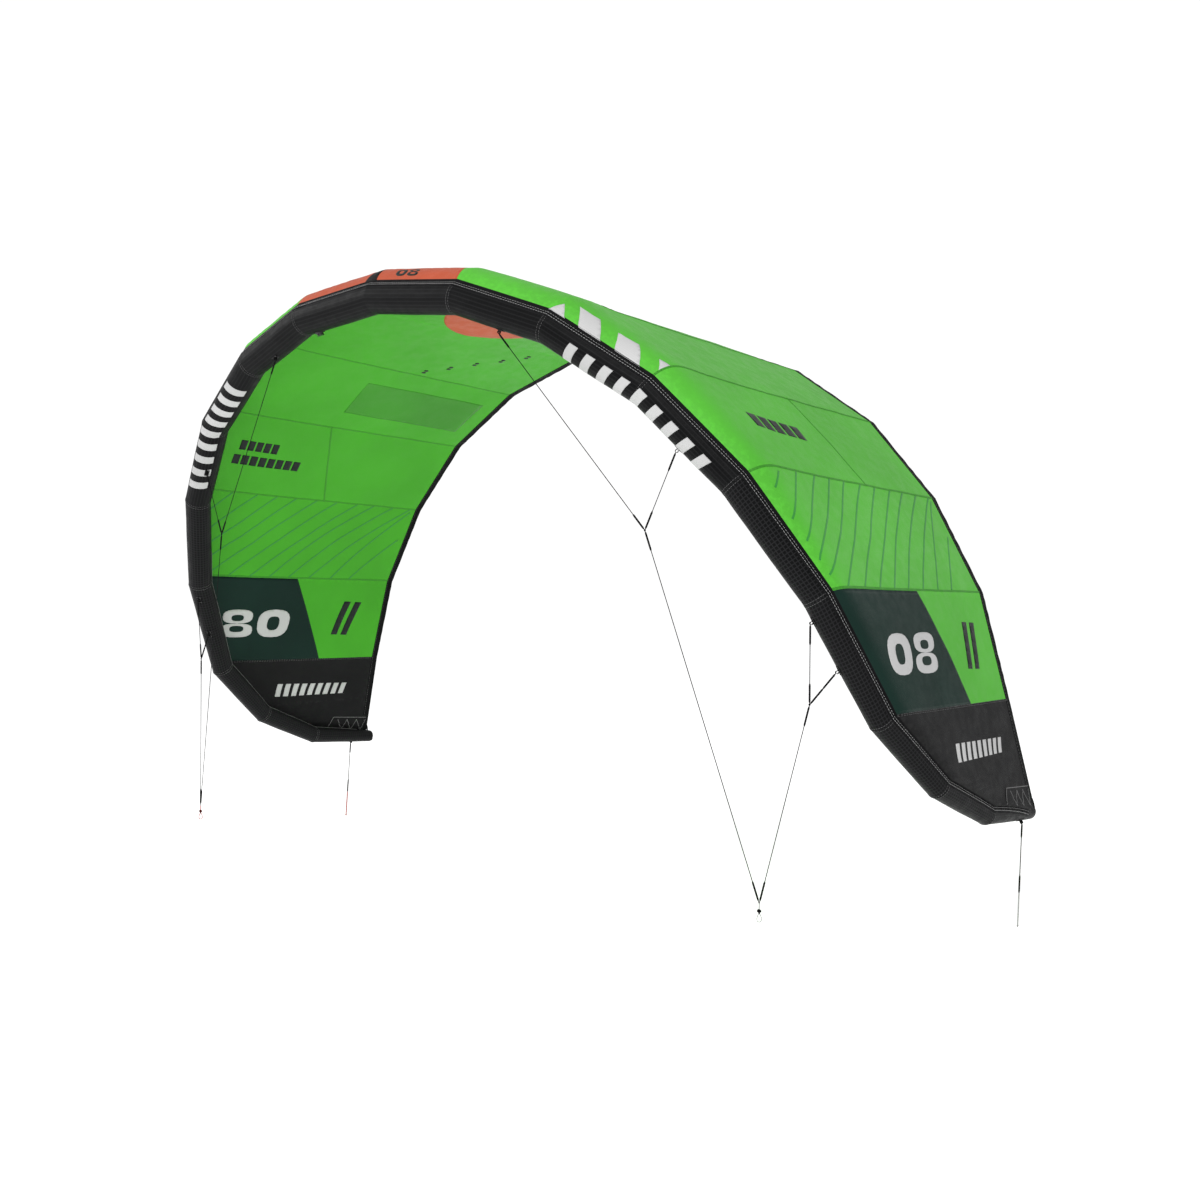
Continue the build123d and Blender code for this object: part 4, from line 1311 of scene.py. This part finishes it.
for side, sign in SIDES:
    lower, pigtail = f"lower_bridle_{side}", f"front_pigtail_{side}"
    colour, stopper_colour = ("pigtail_white", "sleeve") if side == "right" else ("pigtail_red", "pigtail_maroon")
    loops = {name: (x * sign, y, z) for name, (x, y, z) in LOOP_ENDS.items()}
    joins = {name: (x * sign, y, z) for name, (x, y, z) in JOINS.items()}
    pull, front_end, rear_end = ((x * sign, y, z) for x, y, z in (PULL_KNOT, FRONT_PIGTAIL_END, REAR_PIGTAIL_END))

    outlines, tabs, patch_threads = [], Pile(), []
    for end in LOOP_ENDS.values():
        outline, strip = webbing_tab(end)
        outlines.append([(s * sign, angle) for s, angle in outline])
        tabs.add(*on_side(sign, *strip))
        middle = share_of(outlines[-1][0], outlines[-1][2], 0.5)
        a, b, c, d = (share_of(corner, middle, 0.16) for corner in outlines[-1])
        patch_threads += [(TUBE, pair, 0.0, 0.0014) for pair in ((a, b), (b, c), (c, d), (d, a), (a, c), (b, d))]
    lay_print(f"bridle_patches_{side}", [(TUBE, outlines)], "webbing", "webbing", TAB_LIFT)
    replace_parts(tabs.make(f"bridle_loops_{side}", "webbing", "webbing"), f"bridle_loops_{side}")
    lay_stitches(f"patch_stitches_{side}", patch_threads, "thread_dim", "webbing", PATCH_STITCH)

    leg_sleeves = []
    for leg in ("front_inner", "front_outer", "rear_inner", "rear_outer"):
        row, place = leg.split("_")
        start, end = loops[leg], joins[row]
        pieces = [sleeves_on(f"{leg}_sleeves_{side}", start, end, LEG_SLEEVES, "kite")]
        leg_sleeves += pieces
        if place == "inner":
            pieces.append(knot(f"{row}_join_knot_{side}", end, "kite", JOIN_KNOT))
        straight_cord(f"{leg}_leg_line_{side}", start, end, LINE, "line", "kite", f"{leg}_leg_{side}")
    for piece in leg_sleeves:
        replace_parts(piece, f"leg_sleeves_{side}")
    for row, join in joins.items():
        sleeves = sleeves_on(f"{row}_lower_sleeves_{side}", join, pull, LOWER_SLEEVES, lower)
        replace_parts(sleeves, f"line_sleeves_{side}")
        node = f"{row}_lower_line_{side}"
        straight_cord(f"{row}_lower_cord_{side}", join, pull, LINE, "line", lower, node)

    stopper = knot(f"pull_knot_{side}", share_of(pull, front_end, 0.72), pigtail, STOPPER_KNOT, stopper_colour)
    t = circle(48)
    reach = LOOP_REACH * np.sin(t) * (1 - 0.45 * np.cos(t))
    path = np.stack([front_end[0] + reach * 0.74, front_end[1] + reach * 0.67, LOOP_Z + LOOP_HEIGHT * np.cos(t)], -1)
    loop = Pile()
    loop.add(*rope_mesh(path, LOOP_THICK, 8, True))
    pieces = [stopper, loop.make(f"pull_loop_{side}", colour, "line", pigtail)]
    straight_cord(f"front_pigtail_cord_{side}", pull, front_end, PIGTAIL, colour, pigtail, pigtail)

    tip = loops["tip"]
    long = math.dist(tip, rear_end)
    spans = [(0.002, long * 0.14), (long * 0.5, long * 0.67)]
    tail_span = [(long * 0.66, long * TAIL_END)]
    pieces = [
        sleeves_on(f"rear_pigtail_sleeves_{side}", tip, rear_end, spans, "kite"),
        sleeves_on(f"rear_pigtail_tail_{side}", tip, rear_end, tail_span, "kite", colour, TAIL_RADIUS),
        knot(f"rear_pigtail_knot_{side}", share_of(tip, rear_end, TAIL_END), "kite", TAIL_KNOT, colour),
    ]
    straight_cord(f"rear_pigtail_cord_{side}", tip, rear_end, PIGTAIL, "line", "kite", f"rear_pigtail_{side}")

# ==== CAD parts that stay ====
for node, material in (("valve_base", "valve"), ("valve_lid", "valve"), ("bladder", "bladder")):
    shown = bpy.data.objects[node]
    for holder in shown.material_slots:
        holder.material = M[material]
    if not shown.material_slots:
        shown.data.materials.append(M[material])

# ==== floor and light ====
FLOOR = -2.39
FLOOR_RADII = np.array([0.5, 1, 2, 4, 8, 14, 22, 32, 45])
FLOOR_SIDES = 96
GLOW = 0.5
SKY_LIGHT, SKY_SEEN = 0.6, 1.05

turn, radius = circle(FLOOR_SIDES), FLOOR_RADII[:, None]
disc = np.stack([radius * np.cos(turn), radius * np.sin(turn), np.full((len(radius), FLOOR_SIDES), FLOOR)], -1)
floor_faces = ring_faces(len(radius), FLOOR_SIDES)[:, ::-1].tolist() + [list(range(FLOOR_SIDES))]
mesh = bpy.data.meshes.new("floor")
mesh.from_pydata(disc.reshape(-1, 3).tolist(), [], floor_faces)
floor = bpy.data.objects.new("floor", mesh)
bpy.context.collection.objects.link(floor)
paper = Nodes("floor_paper", 0.9, specular=0.0)
paper.shader.inputs["Emission Color"].default_value = (1, 1, 1, 1)
paper.shader.inputs["Emission Strength"].default_value = GLOW
mesh.materials.append(paper.finish(paper.mix(paper.noise(0.7, 2), (0.93, 0.93, 0.93), (0.95, 0.95, 0.95))))

world = bpy.data.worlds.new("studio")
bpy.context.scene.world = world
world.use_nodes = True
sky = world.node_tree.nodes["Background"]
sky.inputs[0].default_value = (1, 1, 1, 1)
seen = world.node_tree.nodes.new("ShaderNodeLightPath")
strength = world.node_tree.nodes.new("ShaderNodeMapRange")
strength.inputs[3].default_value = SKY_LIGHT
strength.inputs[4].default_value = SKY_SEEN
world.node_tree.links.new(seen.outputs["Is Camera Ray"], strength.inputs[0])
world.node_tree.links.new(strength.outputs[0], sky.inputs[1])

for name, location, target, size, power in (
    ("key", (3.5, -5.5, 5.5), (0.3, 0.6, -0.8), 4.5, 420),
    ("fill", (-6.0, -3.0, 2.5), (0, 0.8, -1.0), 5.0, 160),
    ("rim", (3.5, 6.0, 1.5), (-1.5, 0.6, -1.2), 2.0, 30),
):
    data = bpy.data.lights.new(name, "AREA")
    data.shape = "DISK"
    data.size = size
    data.energy = power
    light = bpy.data.objects.new(name, data)
    bpy.context.collection.objects.link(light)
    light.location = location
    light.rotation_euler = (Vector(target) - Vector(location)).to_track_quat("-Z", "Y").to_euler()
bpy.context.scene.view_settings.view_transform = "Standard"
